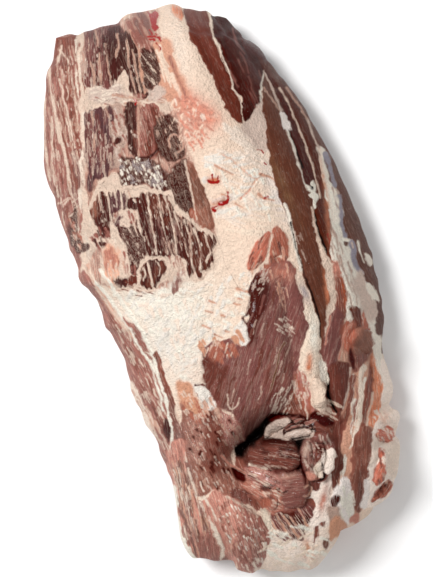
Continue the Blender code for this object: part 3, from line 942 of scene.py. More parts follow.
SHEET_MARKS: tuple[Layer, ...] = (
    *(Streaks(tone, "112,296 150,290 200,286 246,266 248,310 238,330 204,340 200,366 176,384 164,366 "
        "148,338", count, 7, 3.0, run, puff=0.5)
      for tone, count, run in ((Tone.WHITE_FAT, 60, (1, 0.5)), (Tone.GREY_FAT, 60, (-0.6, 1)),
          (Tone.SHEET_PALE, 40, (0.4, 1)), (Tone.BAND_LOW, 12, (1, -0.3)))),
    Streaks(Tone.SALMON, "204,300 246,290 246,320 206,334", 11, 7, 1.5, (1, 0.4)),
    Patch("sheet top orange", Tone.ORANGE_EDGE, "173,5 180,8 184,16 182,20 177,18 174,12", soft=5.0),
    Blush(Tone.PINK, (206, 115, 15, 11, 40), 1.0),
    Blush(Tone.FLUSH, (194, 108, 22, 13, 50), 0.7),
    Blush(Tone.ORANGE_FAT, (188, 124, 14, 20, 0), 0.7),
    *(Streaks(tone, "174,98 192,96 208,116 204,142 190,146 180,130", count, 5, width, run)
      for tone, count, width, run in ((Tone.ORANGE_FAT, 44, 1.2, (1, 0.6)),
          (Tone.SHEET_PEACH, 40, 0.8, (-0.5, 1)), (Tone.SHEET_PALE, 12, 0.7, (0.3, 1)),
          (Tone.FLUSH, 36, 1.5, (0.6, 1)))),
    *(Streaks(tone, "202,152 232,148 264,176 262,200 240,218 214,214 204,180", count, 17, width, run,
        puff=puff)
      for tone, count, width, run, puff in ((Tone.SHEET_PALE, 24, 3.0, (1, 0.5), 0.5),
          (Tone.GREY_FAT, 20, 3.4, (1, -0.3), 0.4), (Tone.WHITE_FAT, 16, 2.0, (0.5, 1), 0.5),
          (Tone.BAND_LOW, 14, 1.2, (1, 0.3), -0.5), (Tone.SALMON, 5, 1.3, (1, 0.5), -0.4))),
    Streaks(Tone.WARM_FAT, "230,208 268,196 274,226 240,236 222,228", 15, 18, 2.4, (1, 0.1), puff=0.4),
    Streaks(Tone.SHEET_PALE, "214,124 244,126 262,152 240,156 218,140", 15, 22, 2.6, (1, 0.65), puff=0.5),
    Blush(Tone.ORANGE_EDGE, (214, 180, 7, 4, 0), 0.9),
    Blush(Tone.ORANGE_EDGE, (219, 203, 10, 5, -20), 0.9),
    Stain("148,11 152,13 156,10 159,14 158,22 159,28 155,30 152,24 151,18"),
    *(Stain(path, width)
      for width, path in ((2.0, "148,36 152,35 157,36 160,39"), (2.4, "150,39 153,38 154,40"),
          (1.6, "157,44 159,47 160,50"), (1.6, "133,98 136,100 135,104"), (1.4, "150,30 152,33"),
          (1.2, "156,31 157,34"), (3.2, "209,181 213,182 217,183 219,181"), (1.4, "212,174 214,182"),
          (1.2, "219,176 218,183"), (4.4, "220,203 224,202 227,200"), (1.8, "213,209 217,206 221,203"),
          (2.2, "213,210 216,210"), (1.6, "227,192 228,201"), (1.2, "257,150 260,151 263,154"),
          (1.1, "264,162 267,164"), (1.4, "265,197 268,198"))),
    Blush(Tone.DARK_RED_AND_SHADE, (224, 202, 4, 2, 0), 0.7),
    *(strand("sheet crease", tone, width, path, soft=2.0, puff=-0.7)
      for tone, width, path in ((Tone.SALMON, 1.2, "222,154 232,160 240,168 247,173 253,177 258,178 "
          "262,174"), (Tone.ORANGE_EDGE, 1.2, "256,179 252,185 249,191"),
          (Tone.ISLAND, 1.4, "250,190 246,194 240,200"))),
    fat("grey-pink triangle", Tone.LILAC, "261,100 264,108 266,120 267,132 268,145 264,150 255,145 "
        "248,135 244,128 250,119 256,110", fade=5.0),
)

UPPER_RIGHT: tuple[Layer, ...] = (
    Patch("strip by the sheet", Tone.STRIP_A, "183,8 191,8 200,9 207,11 209,20 211,30 213,38 218,47 "
        "221,57 226,66 231,77 233,88 236,95 240,103 241,113 243,123 238,122 230,113 223,100 217,90 "
        "212,77 206,65 201,55 196,48 191,40 189,30 186,20 183,12", run=(0.42, 1.0), puff=1.0),
    Blush(Tone.MIDDLE_LEFT, (206, 40, 30, 5, 62), 0.35, Tissue.LEAN),
    Patch("upper muscle", Tone.MUSCLE_B, "212,14 222,14 229,19 235,26 241,34 243,38 248,46 253,53 257,60 "
        "261,67 264,73 263,80 261,90 260,100 255,108 250,118 246,121 243,118 241,108 240,98 235,91 "
        "233,85 231,77 227,68 222,58 221,50 217,40 213,30", run=(0.42, 1.0), puff=1.8, rim=9),
    Blush(Tone.MUSCLE_B_RIGHT, (248, 72, 34, 9, 62), 0.8, Tissue.LEAN),
    *(Streaks(tone, "216,18 230,22 252,56 262,76 258,100 248,112 240,92 226,60", count, 20, width,
        (0.42, 1), Tissue.LEAN)
      for tone, count, width in ((Tone.MIDDLE_LEFT, 14, 0.8), (Tone.BUMP, 16, 2.4))),
    seam("white line by the upper muscle", Tone.PALE_SEAM, 2.0, "208,12 210,18 212,25 212,31 214,37 "
        "219,45 221,52 224,60 228,68 231,77 233,87 238,97 242,108", line_end=0.8, puff=0.6),
    Patch("dark bump", Tone.BUMP, "244,36 250,39 256,43 262,50 267,57 266,61 261,58 256,56 252,52 248,46",
        puff=1.4, wet=0.4),
)

RIGHT_FLANK: tuple[Layer, ...] = (
    Patch("upper outer strip", Tone.LAYER_F, "268,66 278,70 290,82 300,96 309,112 318,128 326,140 "
        "316,148 310,134 304,122 297,110 288,97 279,85 270,74", run=(0.6, 1.0), puff=0.8),
    Patch("layer F", Tone.LAYER_F, "316,128 326,140 334,156 342,170 350,186 358,204 366,226 374,248 "
        "380,270 386,296 390,320 390,340 381,345 377,330 374,312 372,300 366,286 362,272 357,262 355,250 "
        "353,242 348,240 345,232 343,222 341,208 340,198 336,188 332,180 330,168 326,158 323,150 318,146 "
        "313,136", run=(0.42, 1.0), puff=1.2),
    fat("cream band", Tone.BAND, "316,147 322,148 325,158 329,170 332,182 337,190 340,200 342,212 "
        "344,226 347,238 353,243 355,256 358,264 363,274 368,288 373,302 375,314 379,328 382,345 386,372 "
        "394,388 392,402 384,398 379,376 374,356 372,344 366,330 362,318 360,308 352,306 352,322 347,320 "
        "346,305 343,290 340,275 337,262 331,256 331,240 331,225 328,208 325,192 322,178 320,165 317,154",
        puff=1.0, fade=2.0, run=(0.3, 1), fringe=1.0),
    Blush(Tone.SOFT_ORANGE, (326, 196, 40, 2.4, 81), 0.9),
    Streaks(Tone.DULL, "330,170 338,200 346,250 362,290 356,304 342,280 332,250", 22, 16, 0.9, (0.34, 1),
        puff=-0.4),
    Streaks(Tone.WHITE_FAT, "326,180 340,204 360,280 350,290 332,240", 14, 18, 2.0, (0.3, 1), puff=0.5),
    *(seam("band film", Tone.FILM, width, path, line_end=end, fade=1.8, fringe=1.2, wet=0.4)
      for width, end, path in ((4.6, 3.0, "325,154 329,164 332,174 335,185"),
          (2.0, 4.0, "339,196 341,208 342,218 343,228 345,236"),
          (4.4, 3.0, "352,242 354,250 354,260 358,268 363,273"),
          (4.0, 6.0, "365,286 366,294 369,302 373,308"))),
    Streaks(Tone.LILAC, "340,200 345,230 355,250 360,270 374,306 366,304 350,256", 14, 5, 1.2, (0.4, 1)),
    fat("band tissue low", Tone.LILAC, "362,274 370,290 376,316 370,318 362,300 356,284", fade=6.0),
    Patch("hole in the band", Tone.LAYER_F, "345,243 348,243 348,247 345,247", soft=1.5),
    fat("flank flap one", Tone.BAND, "365,252 368,255 371,260 371,266 367,263", fade=0.8, puff=0.6),
    fat("flank flap two", Tone.BAND, "367,283 371,284 376,291 379,302 374,301 370,293", fade=0.8,
        puff=0.6),
    Patch("dark oblong", Tone.LAYER_F, "378,322 381,322 381,337 379,337", soft=2.0),
    Patch("strip C", Tone.STRIP_C, "264,76 267,82 271,94 276,106 281,118 286,128 291,140 295,152 299,164 "
        "303,176 307,188 309,200 311,210 314,222 317,235 319,248 322,262 325,275 328,290 329,300 327,310 "
        "328,325 326,345 324,364 321,356 320,340 319,325 316,312 310,295 306,282 301,268 297,255 294,240 "
        "290,225 286,212 281,202 277,190 274,180 271,170 270,160 268,150 267,140 266,125 264,112 262,100 "
        "263,90", run=(0.28, 1.0), puff=1.2, rim=7),
    Blush(Tone.OLIVE, (284, 188, 34, 5, 67), 0.85, Tissue.LEAN),
    Blush(Tone.ORANGE_EDGE, (327, 290, 26, 2.6, 84), 0.8, Tissue.LEAN),
    seam("strip C upper line", Tone.LEFT_PALE, 1.0, "264,88 270,97 276,105 282,113"),
    Streaks(Tone.DULL, "292,214 297,222 305,250 300,250", 4, 10, 1.2, (0.4, 1)),
    seam("strip C left line", Tone.BAND, 2.6, "285,204 289,216 292,230 295,244 298,258 301,270"),
    # Painted shade in the gap left of strip C.
    strand("strip C left gap", Tone.GAP_SHADE, 1.3, "291,222 294,238 298,254 303,270 309,286 314,300 319,316 "
        "320,340", puff=-0.8),
    seam("strip C top edge", Tone.BAND, 1.4, "264,72 262,80 261,90 260,100"),
    seam("strip C inner line", Tone.LILAC, 2.0, "264,71 268,79 272,88 276,98 281,110"),
    Patch("layer D", Tone.LAYER_D, "266,72 272,82 277,95 282,106 288,117 290,130 294,142 298,152 302,164 "
        "306,176 309,186 314,184 311,170 306,154 302,142 298,132 293,120 287,106 281,94 274,82",
        run=(0.45, 1.0), puff=1.0),
    Patch("layer E", Tone.LAYER_E, "274,80 282,90 289,104 296,119 301,132 306,146 311,160 315,176 "
        "318,190 319,200 314,206 315,215 318,226 321,238 325,250 328,260 330,250 331,235 330,220 327,205 "
        "324,190 321,175 318,160 316,148 311,136 306,124 300,112 293,100 285,88", run=(0.35, 1.0),
        puff=1.2),
    Blush(Tone.ORANGE_EDGE, (328, 218, 36, 2.8, 84), 0.55, Tissue.LEAN),
    # Painted shade in the gap beside layer D.
    strand("gap beside layer D", Tone.GAP_SHADE, 1.3, "288,128 293,142 299,156 303,168", puff=-0.7),
    # Painted shade in the gap below the blotch.
    strand("gap below the blotch", Tone.GAP_SHADE, 1.8, "314,214 318,228 322,240 326,252", puff=-0.9),
    seam("cream line beside C", Tone.BAND, 2.4, "287,128 290,138 294,148 297,157 299,166 302,174 305,184",
        line_end=1.6, puff=0.5),
    fat("cream blotch", Tone.MEMBRANE, "280,112 285,113 290,120 290,130 286,130 282,121", fringe=1.0),
    seam("line between D and E", Tone.SEAM, 1.5, "280,88 286,99 291,110 296,121 300,131 304,142 308,153 "
        "312,164 315,176 318,188 320,198", puff=0.6),
    seam("tan line outside E", Tone.LEFT_PALE, 1.6, "286,88 294,99 302,110 308,120"),
    seam("lilac line outside E", Tone.LILAC, 1.8, "308,120 311,130 315,141 319,148"),
    # Both a white fleck of fat and a painted highlight: a bright wet glint laid as white, raised a little.
    fat("white splash", Tone.WHITE_FAT, "306,184 309,186 311,190 311,183 313,180 315,184 316,189 315,193 "
        "318,196 318,200 316,202 315,206 313,209 311,206 311,200 307,196 310,193 307,190", puff=0.9,
        fade=0.6),
    # Painted shade in a small hole in the splash.
    Patch("hole in the splash", Tone.GAP_SHADE, "310,187 312,187 312,190 310,190", puff=-0.8),
    seam("line below the splash", Tone.SEAM, 2.0, "311,208 314,220 317,231 319,241 323,252 327,264",
        line_end=4.0, puff=0.7),
    Stain("328,235 329,243", 1.0),
    fat("cream-pink strip", Tone.SEAM, "322,252 328,257 333,264 334,275 336,290 335,303 332,314 328,326 "
        "325,338 326,324 329,310 329,297 327,283 325,270", fade=2.0),
    Patch("orange strip", Tone.LEFT_DARK, "333,262 337,261 341,270 344,282 347,296 347,310 345,322 "
        "343,334 338,330 335,318 335,300 335,282 333,272", run=(0.1, 1), puff=1.0, soft=2.4, fade=2.0),
    Blush(Tone.ORANGE_LEAN, (344, 290, 30, 2.6, 82), 0.9, Tissue.LEAN),
    Blush(Tone.ORANGE_FAT, (337, 267, 9, 5, 75), 0.9, Tissue.LEAN),
    Patch("small dark strip", Tone.LAYER_H, "353,310 356,306 358,310 360,320 360,330 354,324", soft=2.5,
        fade=3.0),
    Patch("small dark strip two", Tone.ISLE, "363,309 366,316 370,331 365,330 363,320", soft=2.0,
        fade=2.0),
    Patch("strip G", Tone.MIDDLE, "330,318 336,308 341,318 343,330 341,342 338,352 334,362 330,372 "
        "326,366 323,352 326,338", run=(-0.2, 1), puff=1.2, fade=4.0, soft=2.0),
    seam("strip G left line", Tone.ORANGE_FAT, 1.2, "331,316 328,330 325,344"),
    fat("flank tan strips", Tone.SALMON, "340,372 352,374 360,366 366,366 364,392 362,420 356,440 "
        "352,470 346,478 340,470 343,440 345,414 347,396", fade=4.0),
    Streaks(Tone.BAND, "356,368 364,368 362,396 360,420 352,440 346,462 342,466 344,440 350,420 354,400",
        12, 30, 1.7, (-0.12, 1)),
    Patch("layer H", Tone.LAYER_H, "328,372 333,364 338,360 345,362 349,370 349,382 347,394 343,406 "
        "339,418 335,410 331,402 328,390", run=(0.05, 1), puff=1.6),
    # Painted shade in the gap beside layer H.
    strand("gap beside layer H", Tone.GAP_SHADE, 2.6, "328,374 328,384 328,394 331,402 336,412", puff=-2.2,
        line_end=1.6),
    seam("line beside layer H", Tone.LILAC, 1.5, "350,368 350,380 347,394 343,408"),
    Patch("brown strip", Tone.LEFT_DARK, "352,374 356,374 355,388 352,404 349,418 345,432 340,440 "
        "342,424 346,408 350,390", run=(-0.2, 1)),
    Patch("thin brown strip right", Tone.LEFT, "357,384 358,400 355,418 352,430 353,414 356,398",
        run=(-0.1, 1)),
    fat("white strip", Tone.PALE_SEAM, "364,364 367,366 362,378 363,390 363,405 362,420 358,432 353,446 "
        "350,450 353,436 358,420 359,400 359,384 361,372", fade=1.2, puff=0.6, run=(-0.1, 1), fringe=0.6),
    Patch("dark wedge", Tone.LEFT_DARK, "372,362 374,374 373,390 370,404 368,420 364,430 360,436 363,420 "
        "364,400 366,386 370,376", run=(-0.15, 1), puff=0.6, fade=2.0),
    Patch("round muscle end", Tone.ROUND_END, "350,340 353,330 361,328 370,332 374,341 371,350 363,356 "
        "354,354", puff=0.5, run=(0.5, 1), rim=6, fade=2.0),
    Patch("round end ridge", Tone.ISLE, "346,325 352,324 354,333 351,343 348,351 345,346 344,336",
        puff=0.8, run=(0, 1), fade=5.0, soft=3.0),
    seam("round end rim", Tone.ORANGE_FAT, 1.6, "352,324 347,330 343,338 342,348 339,358"),
    Patch("brown under the round end", Tone.LEFT_DARK, "350,352 358,355 368,354 364,362 356,372 351,368 "
        "348,360", soft=2.0, wet=0.4),
    # Painted shade under the round muscle end.
    Patch("dark under the round end", Tone.DARK_RED_AND_SHADE, "350,348 352,356 352,368 350,364", soft=1.6),
    Patch("orange right strip", Tone.ORANGE_EDGE, "372,354 376,364 380,374 383,386 381,400 378,414 "
        "374,426 370,424 371,408 374,392 374,376", run=(0.1, 1), soft=3.0),
    Blush(Tone.LAYER_E, (372, 368, 16, 2.5, 85), 0.7, Tissue.LEAN),
    fat("right cream edge", Tone.LOW_FAT, "382,360 390,372 397,390 394,404 402,412 404,440 404,470 "
        "398,492 376,506 368,506 366,490 369,470 372,450 372,432 378,420 380,404 384,388", fade=2.0),
    Blush(Tone.SOFT_ORANGE, (384, 418, 8, 6, 60), 0.6),
    seam("pale pink line", Tone.SEAM, 1.5, "373,392 372,402 369,414 366,428"),
)

MIDDLE: tuple[Layer, ...] = (
    Patch("island one", Tone.ISLAND, "270,232 264,235 258,241 252,249 249,257 245,265 250,271 256,268 "
        "262,261 267,254 270,245 271,236", run=(-0.5, 1), soft=1.8, puff=1.0),
    Patch("island two", Tone.ISLE, "277,224 281,229 286,236 290,246 290,255 286,263 284,262 282,255 "
        "277,257 270,261 271,250 273,240 272,232", run=(0.2, 1), soft=1.8, puff=1.0),
    Patch("island foot", Tone.ISLE, "266,262 274,256 284,260 292,266 296,276 286,270 276,266 262,270",
        soft=2.0, fringe=2.0, run=(0.3, 1)),
    *(Streaks(tone, outline, count, 9, width, run, tissue)
      for tissue, tone, count, width in ((Tissue.LEAN, Tone.LAYER_H, 8, 2.0),
          (Tissue.FAT, Tone.SALMON, 5, 0.8))
      for run, outline in (((-0.5, 1), "266,234 270,240 262,262 248,264 254,246"),
          ((0.2, 1), "276,228 288,242 290,262 272,260 273,240"))),
    Patch("middle muscle", Tone.MIDDLE, "252,280 256,274 262,270 268,268 274,263 282,264 290,262 295,268 "
        "297,276 300,290 302,300 304,310 308,316 309,325 307,335 304,342 301,352 299,362 297,372 295,380 "
        "291,388 288,395 285,402 281,410 270,415 265,420 258,430 250,438 243,441 241,432 236,425 233,418 "
        "228,410 218,408 213,400 210,392 205,387 203,380 205,370 208,368 206,362 202,356 203,350 212,343 "
        "222,340 232,338 238,343 246,345 246,335 246,328 249,320 247,312 249,305 250,290",
        run=(-0.28, 0.96), soft=1.6, puff=1.6, rim=10),
    Blush(Tone.MIDDLE_TOP, (281, 273, 18, 10, 0), 0.85, Tissue.LEAN),
    fat("fat tongue", Tone.GREY_FAT, "236,326 245,325 248,334 247,345 242,346 236,340", fade=2.0,
        soft=1.6),
    Streaks(Tone.SOFT_ORANGE, "198,340 214,335 240,334 238,340 212,345 202,352", 15, 8, 3.0, (0.5, 1)),
    Streaks(Tone.ISLE, "204,350 212,343 236,340 232,350 212,360", 20, 9, 3.4, (0.5, 1), Tissue.LEAN),
    # Painted highlights: small white glints along the muscle's orange border.
    Streaks(Tone.SEAM, "208,346 230,340 232,354 210,360", 12, 5, 0.9, (-0.4, 1)),
    *(strand("dark edge of the fat", Tone.DARK_RED_AND_SHADE, width, path, soft=1.6, puff=-0.6)
      for width, path in ((1.8, "249,290 250,300 248,308"), (2.4, "248,308 247,314 243,318 247,325"),
          (1.6, "203,357 206,362 209,368 205,370 203,380"), (1.8, "196,385 203,385 211,392 213,401"))),
    Patch("middle muscle dark left", Tone.LAYER_H, "203,357 212,364 222,374 228,392 224,402 214,396 "
        "206,386", run=(-0.28, 0.96), fade=9.0, soft=3.0),
    Patch("middle muscle dark top", Tone.LAYER_D, "250,286 256,278 264,284 262,306 256,326 250,342 "
        "246,330 250,310", run=(-0.28, 0.96), fade=8.0, soft=2.0, wet=0.5),
    *(Streaks(tone, "256,284 302,286 302,330 286,396 262,420 232,420 212,380 246,350", count, 26, width,
        (-0.28, 0.96), Tissue.LEAN)
      for tone, count, width in ((Tone.LAYER_H, 26, 3.0), (Tone.FAN_GREY, 50, 1.1),
          (Tone.MIDDLE_LEFT, 20, 3.0))),
    Streaks(Tone.DULL, "262,290 300,290 296,350 280,396 246,424 232,400 250,350", 12, 12, 0.8,
        (-0.28, 0.96)),
    Streaks(Tone.PEACH, "266,264 296,264 298,288 280,290", 9, 16, 1.2, (0.25, 1)),
    # Painted highlights: the next three are tiny lilac and white glints on the wet middle muscle.
    Streaks(Tone.LILAC, "254,272 272,268 270,288 256,288", 22, 4, 0.9, (-0.6, 1)),
    Streaks(Tone.PALE_SEAM, "274,318 292,320 292,334 278,332", 22, 4, 0.9, (1, 0.7)),
    Streaks(Tone.PALE_SEAM, "282,386 292,384 284,414 274,412", 22, 9, 0.9, (-0.5, 1)),
    seam("olive streak one", Tone.OLIVE, 1.6, "285,343 279,355 277,367 273,380 270,392", line_end=1.2),
    seam("u line", Tone.SEAM, 1.0, "228,394 229,405 231,409 236,407 240,398"),
    Blush(Tone.FILM, (305, 294, 12, 4, 68), 0.6),
    fat("wedge of fat", Tone.WARM_FAT, "305,308 312,308 317,314 319,330 320,350 321,362 318,378 312,384 "
        "302,384 297,372 300,360 304,345 308,328", fade=2.0, puff=0.9),
    Blush(Tone.WHITE_FAT, (314, 332, 20, 5, 90), 0.8),
    Blush(Tone.ORANGE_EDGE, (309, 364, 10, 3.2, 95), 1.0),
    Patch("wedge red meat", Tone.PINK_MEAT, "296,370 301,370 305,378 311,383 313,396 312,410 306,404 "
        "302,395 297,400 294,388", soft=2.5, run=(0.1, 1), fringe=2.0, wet=0.6),
    Streaks(Tone.PALE_SEAM, "296,374 304,372 308,384 304,398 308,410 298,410 294,396", 20, 9, 1.1,
        (0.2, 1)),
    Streaks(Tone.ISLE, "296,372 304,372 310,392 306,408 296,398", 14, 9, 1.8, (0.2, 1), Tissue.LEAN,
        loose=True),
    fat("ragged cream lump", Tone.SHEET, "310,378 317,376 323,382 326,390 327,400 325,410 318,412 "
        "312,405 311,394", fade=1.5, puff=1.0, fringe=1.5),
    fat("cream shred", Tone.BAND, "320,362 325,366 328,374 327,384 324,380 322,371", fringe=1.5,
        puff=0.6),
    Streaks(Tone.SEAM, "318,404 330,400 340,414 338,420 324,418 314,412", 17, 10, 2.2, (1, 0.5)),
    # Painted shade: dark red at the right end of the pocket's mouth, over a dent.
    Patch("dark pocket right", Tone.DARK_RED_AND_SHADE, "311,413 318,415 327,418 334,424 326,426 318,423 311,421",
        wet=0.4, puff=-1.4),
)

POCKET: tuple[Layer, ...] = (
    # Painted shade: the pocket's slit, near black, over a deep dent.
    Patch("pocket slit", Tone.GAP_SHADE, "236,449 241,444 247,439 252,434 258,428 264,421 268,415 278,413 "
        "290,414 303,417 305,421 292,421 280,420 272,424 267,430 264,438 262,444 257,450 250,454 244,456 "
        "238,455", wet=0.3, puff=-3.0),
    # Painted shade: dark red along the slit's lip.
    Patch("red beside the slit", Tone.DARK_RED_AND_SHADE, "268,416 286,414 302,416 310,420 300,422 284,419 272,421",
        soft=2.0),
    Patch("flap ground", Tone.FLAP_FOLD, "256,446 262,438 268,428 274,422 288,418 306,421 318,426 "
        "328,436 334,452 330,474 318,486 306,500 288,512 272,506 256,492 246,470 246,456", run=(1, 0.2),
        soft=1.4, wet=0.4),
    # Dark folds inside the pocket, in the flap's colour with its painted shade.
    Patch("folds behind the flap", Tone.FLAP_SHADED, "283,430 290,422 300,420 312,424 314,430 300,433 290,434 "
        "284,438", run=(1, -0.3), wet=0.5),
    Streaks(Tone.PINK_MEAT, "284,426 306,421 310,428 286,434", 8, 13, 1.6, (1, -0.3)),
    fat("flap tip", Tone.LILAC, "264,438 265,430 270,424 279,419 289,418 292,422 286,427 282,432 283,439 "
        "273,440", wet=0.5, fade=2.0),
    Streaks(Tone.RIB_BROWN, "274,422 292,421 284,434 274,438", 9, 9, 2.2, (1, -0.5), Tissue.LEAN),
    fat("white-pink ridge", Tone.LILAC, "279,440 288,434 297,431 306,429 313,432 311,437 304,439 296,440 "
        "288,441", wet=0.6, fade=1.5),
    # The flap: dark muscle, its top darkened by painted shade of the pocket.
    Patch("flap", Tone.FLAP_SHADED, "246,456 254,450 260,444 264,438 274,438 286,440 294,440 297,446 301,452 "
        "303,459 300,465 294,470 282,471 268,470 254,466 246,461", run=(1, 0.12), wet=0.2, fade=3.0),
    Patch("flap middle", Tone.FLAP_FOLD, "248,454 260,450 272,449 286,449 298,453 302,460 296,468 "
        "282,470 264,468 250,463", run=(1, 0.2), fade=6.0, wet=0.4),
    Streaks(Tone.DULL, "252,452 294,452 296,466 262,464", 8, 15, 0.8, (1, 0.16)),
    Streaks(Tone.FLAP_SHADED, "250,452 296,448 300,464 262,466", 12, 18, 2.0, (1, 0.16), Tissue.LEAN),
    seam("flap edge line", Tone.PALE_SEAM, 2.0, "249,464 257,466 264,468 271,471"),
    # Painted shade in a small hole by the flap.
    Patch("hole by the flap", Tone.GAP_SHADE, "297,441 303,440 305,443 302,450 300,456 297,447", puff=-1.2),
    Patch("lower fold", Tone.MIDDLE_LEFT, "268,471 284,473 296,470 303,466 305,476 305,486 303,497 "
        "296,505 286,510 279,508 279,495 280,485 274,478", run=(1, -0.1), wet=0.5, puff=0.8),
    # Painted highlight: a pale sheen along the lower fold.
    Blush(Tone.LEFT_PALE, (286, 476, 14, 3, -8), 0.5, Tissue.LEAN),
    # Painted shade in the gap under the flap.
    strand("gap under the flap", Tone.DARK_RED_AND_SHADE, 1.8, "276,472 286,472 295,470 301,465 303,458"),
    Patch("crumpled meat", Tone.PINK_MEAT, "243,476 247,468 258,469 272,474 280,484 280,494 264,486 "
        "250,484", run=(1, 0.5), wet=0.9, speckle=0.3, fringe=2.0),
    Patch("ragged orange fat", Tone.MIDDLE_TOP, "240,482 246,480 256,486 266,490 277,490 281,498 281,508 "
        "274,513 266,510 261,502 252,496 245,490", run=(1, 0.7), soft=2.4, wet=0.6, puff=0.8, fringe=2.0),
    Streaks(Tone.SEAM, "244,474 262,476 280,492 278,508 262,498 246,488", 22, 5, 1.1, (1, 0.5)),
    Streaks(Tone.DARK_RED_AND_SHADE, "248,476 280,482 282,506 262,500", 18, 5, 1.6, (1, 0.3), Tissue.LEAN),
    Patch("orange hollow", Tone.ISLE, "261,501 267,499 270,504 264,505"),
    Patch("knob one", Tone.MIDDLE_LEFT, "302,446 307,440 312,440 315,447 314,456 316,464 317,472 318,481 "
        "309,483 305,476 303,466 300,458", run=(0, 1), wet=0.6, speckle=0.2),
    Blush(Tone.DULL, (306, 450, 10, 3, 100), 0.8, Tissue.LEAN),
    Patch("knob two", Tone.MIDDLE_LEFT, "312,437 320,434 328,436 334,442 334,450 328,454 323,447 315,445",
        fade=1.0, wet=0.5, puff=0.6),
    Streaks(Tone.LILAC, "304,440 330,436 330,452 316,470 304,466", 24, 6, 1.2, (0.4, 1)),
    Streaks(Tone.LAYER_D, "303,442 328,438 326,450 316,474 305,470", 14, 9, 1.8, (0.2, 1), Tissue.LEAN),
    fat("knob three", Tone.LOW_FAT, "323,455 330,449 336,453 336,461 333,469 328,475 323,468 322,460",
        fade=1.0, puff=0.6),
    fat("white strip by the knob", Tone.PALE_SEAM, "316,464 321,462 322,470 321,477 317,476"),
    Patch("knob orange tip", Tone.ORANGE_FAT, "306,473 315,473 318,481 309,483", wet=0.4),
    # Painted shade in the gap by the knobs.
    strand("gap by the knobs", Tone.GAP_SHADE, 2.0, "322,462 324,470 323,478 318,481", puff=-1.0),
    # Painted shade in the gap left of the knobs.
    strand("gap left of the knobs", Tone.DARK_RED_AND_SHADE, 2.2, "300,456 302,466 305,476 306,484"),
    Patch("dark bits under the knobs", Tone.LAYER_H, "306,484 316,480 321,484 317,492 311,491", soft=1.6,
        wet=0.7),
    seam("curl", Tone.SALMON, 1.8, "303,488 307,485 311,488 309,494 304,496"),
    # Painted shade in the second slit, over a dent.
    Patch("second slit", Tone.DARK_RED_AND_SHADE, "233,468 238,469 244,474 243,481 239,480 235,474", puff=-2.0),
    seam("line over the second slit", Tone.ORANGE_FAT, 2.0, "222,456 228,463 236,468 245,473"),
)

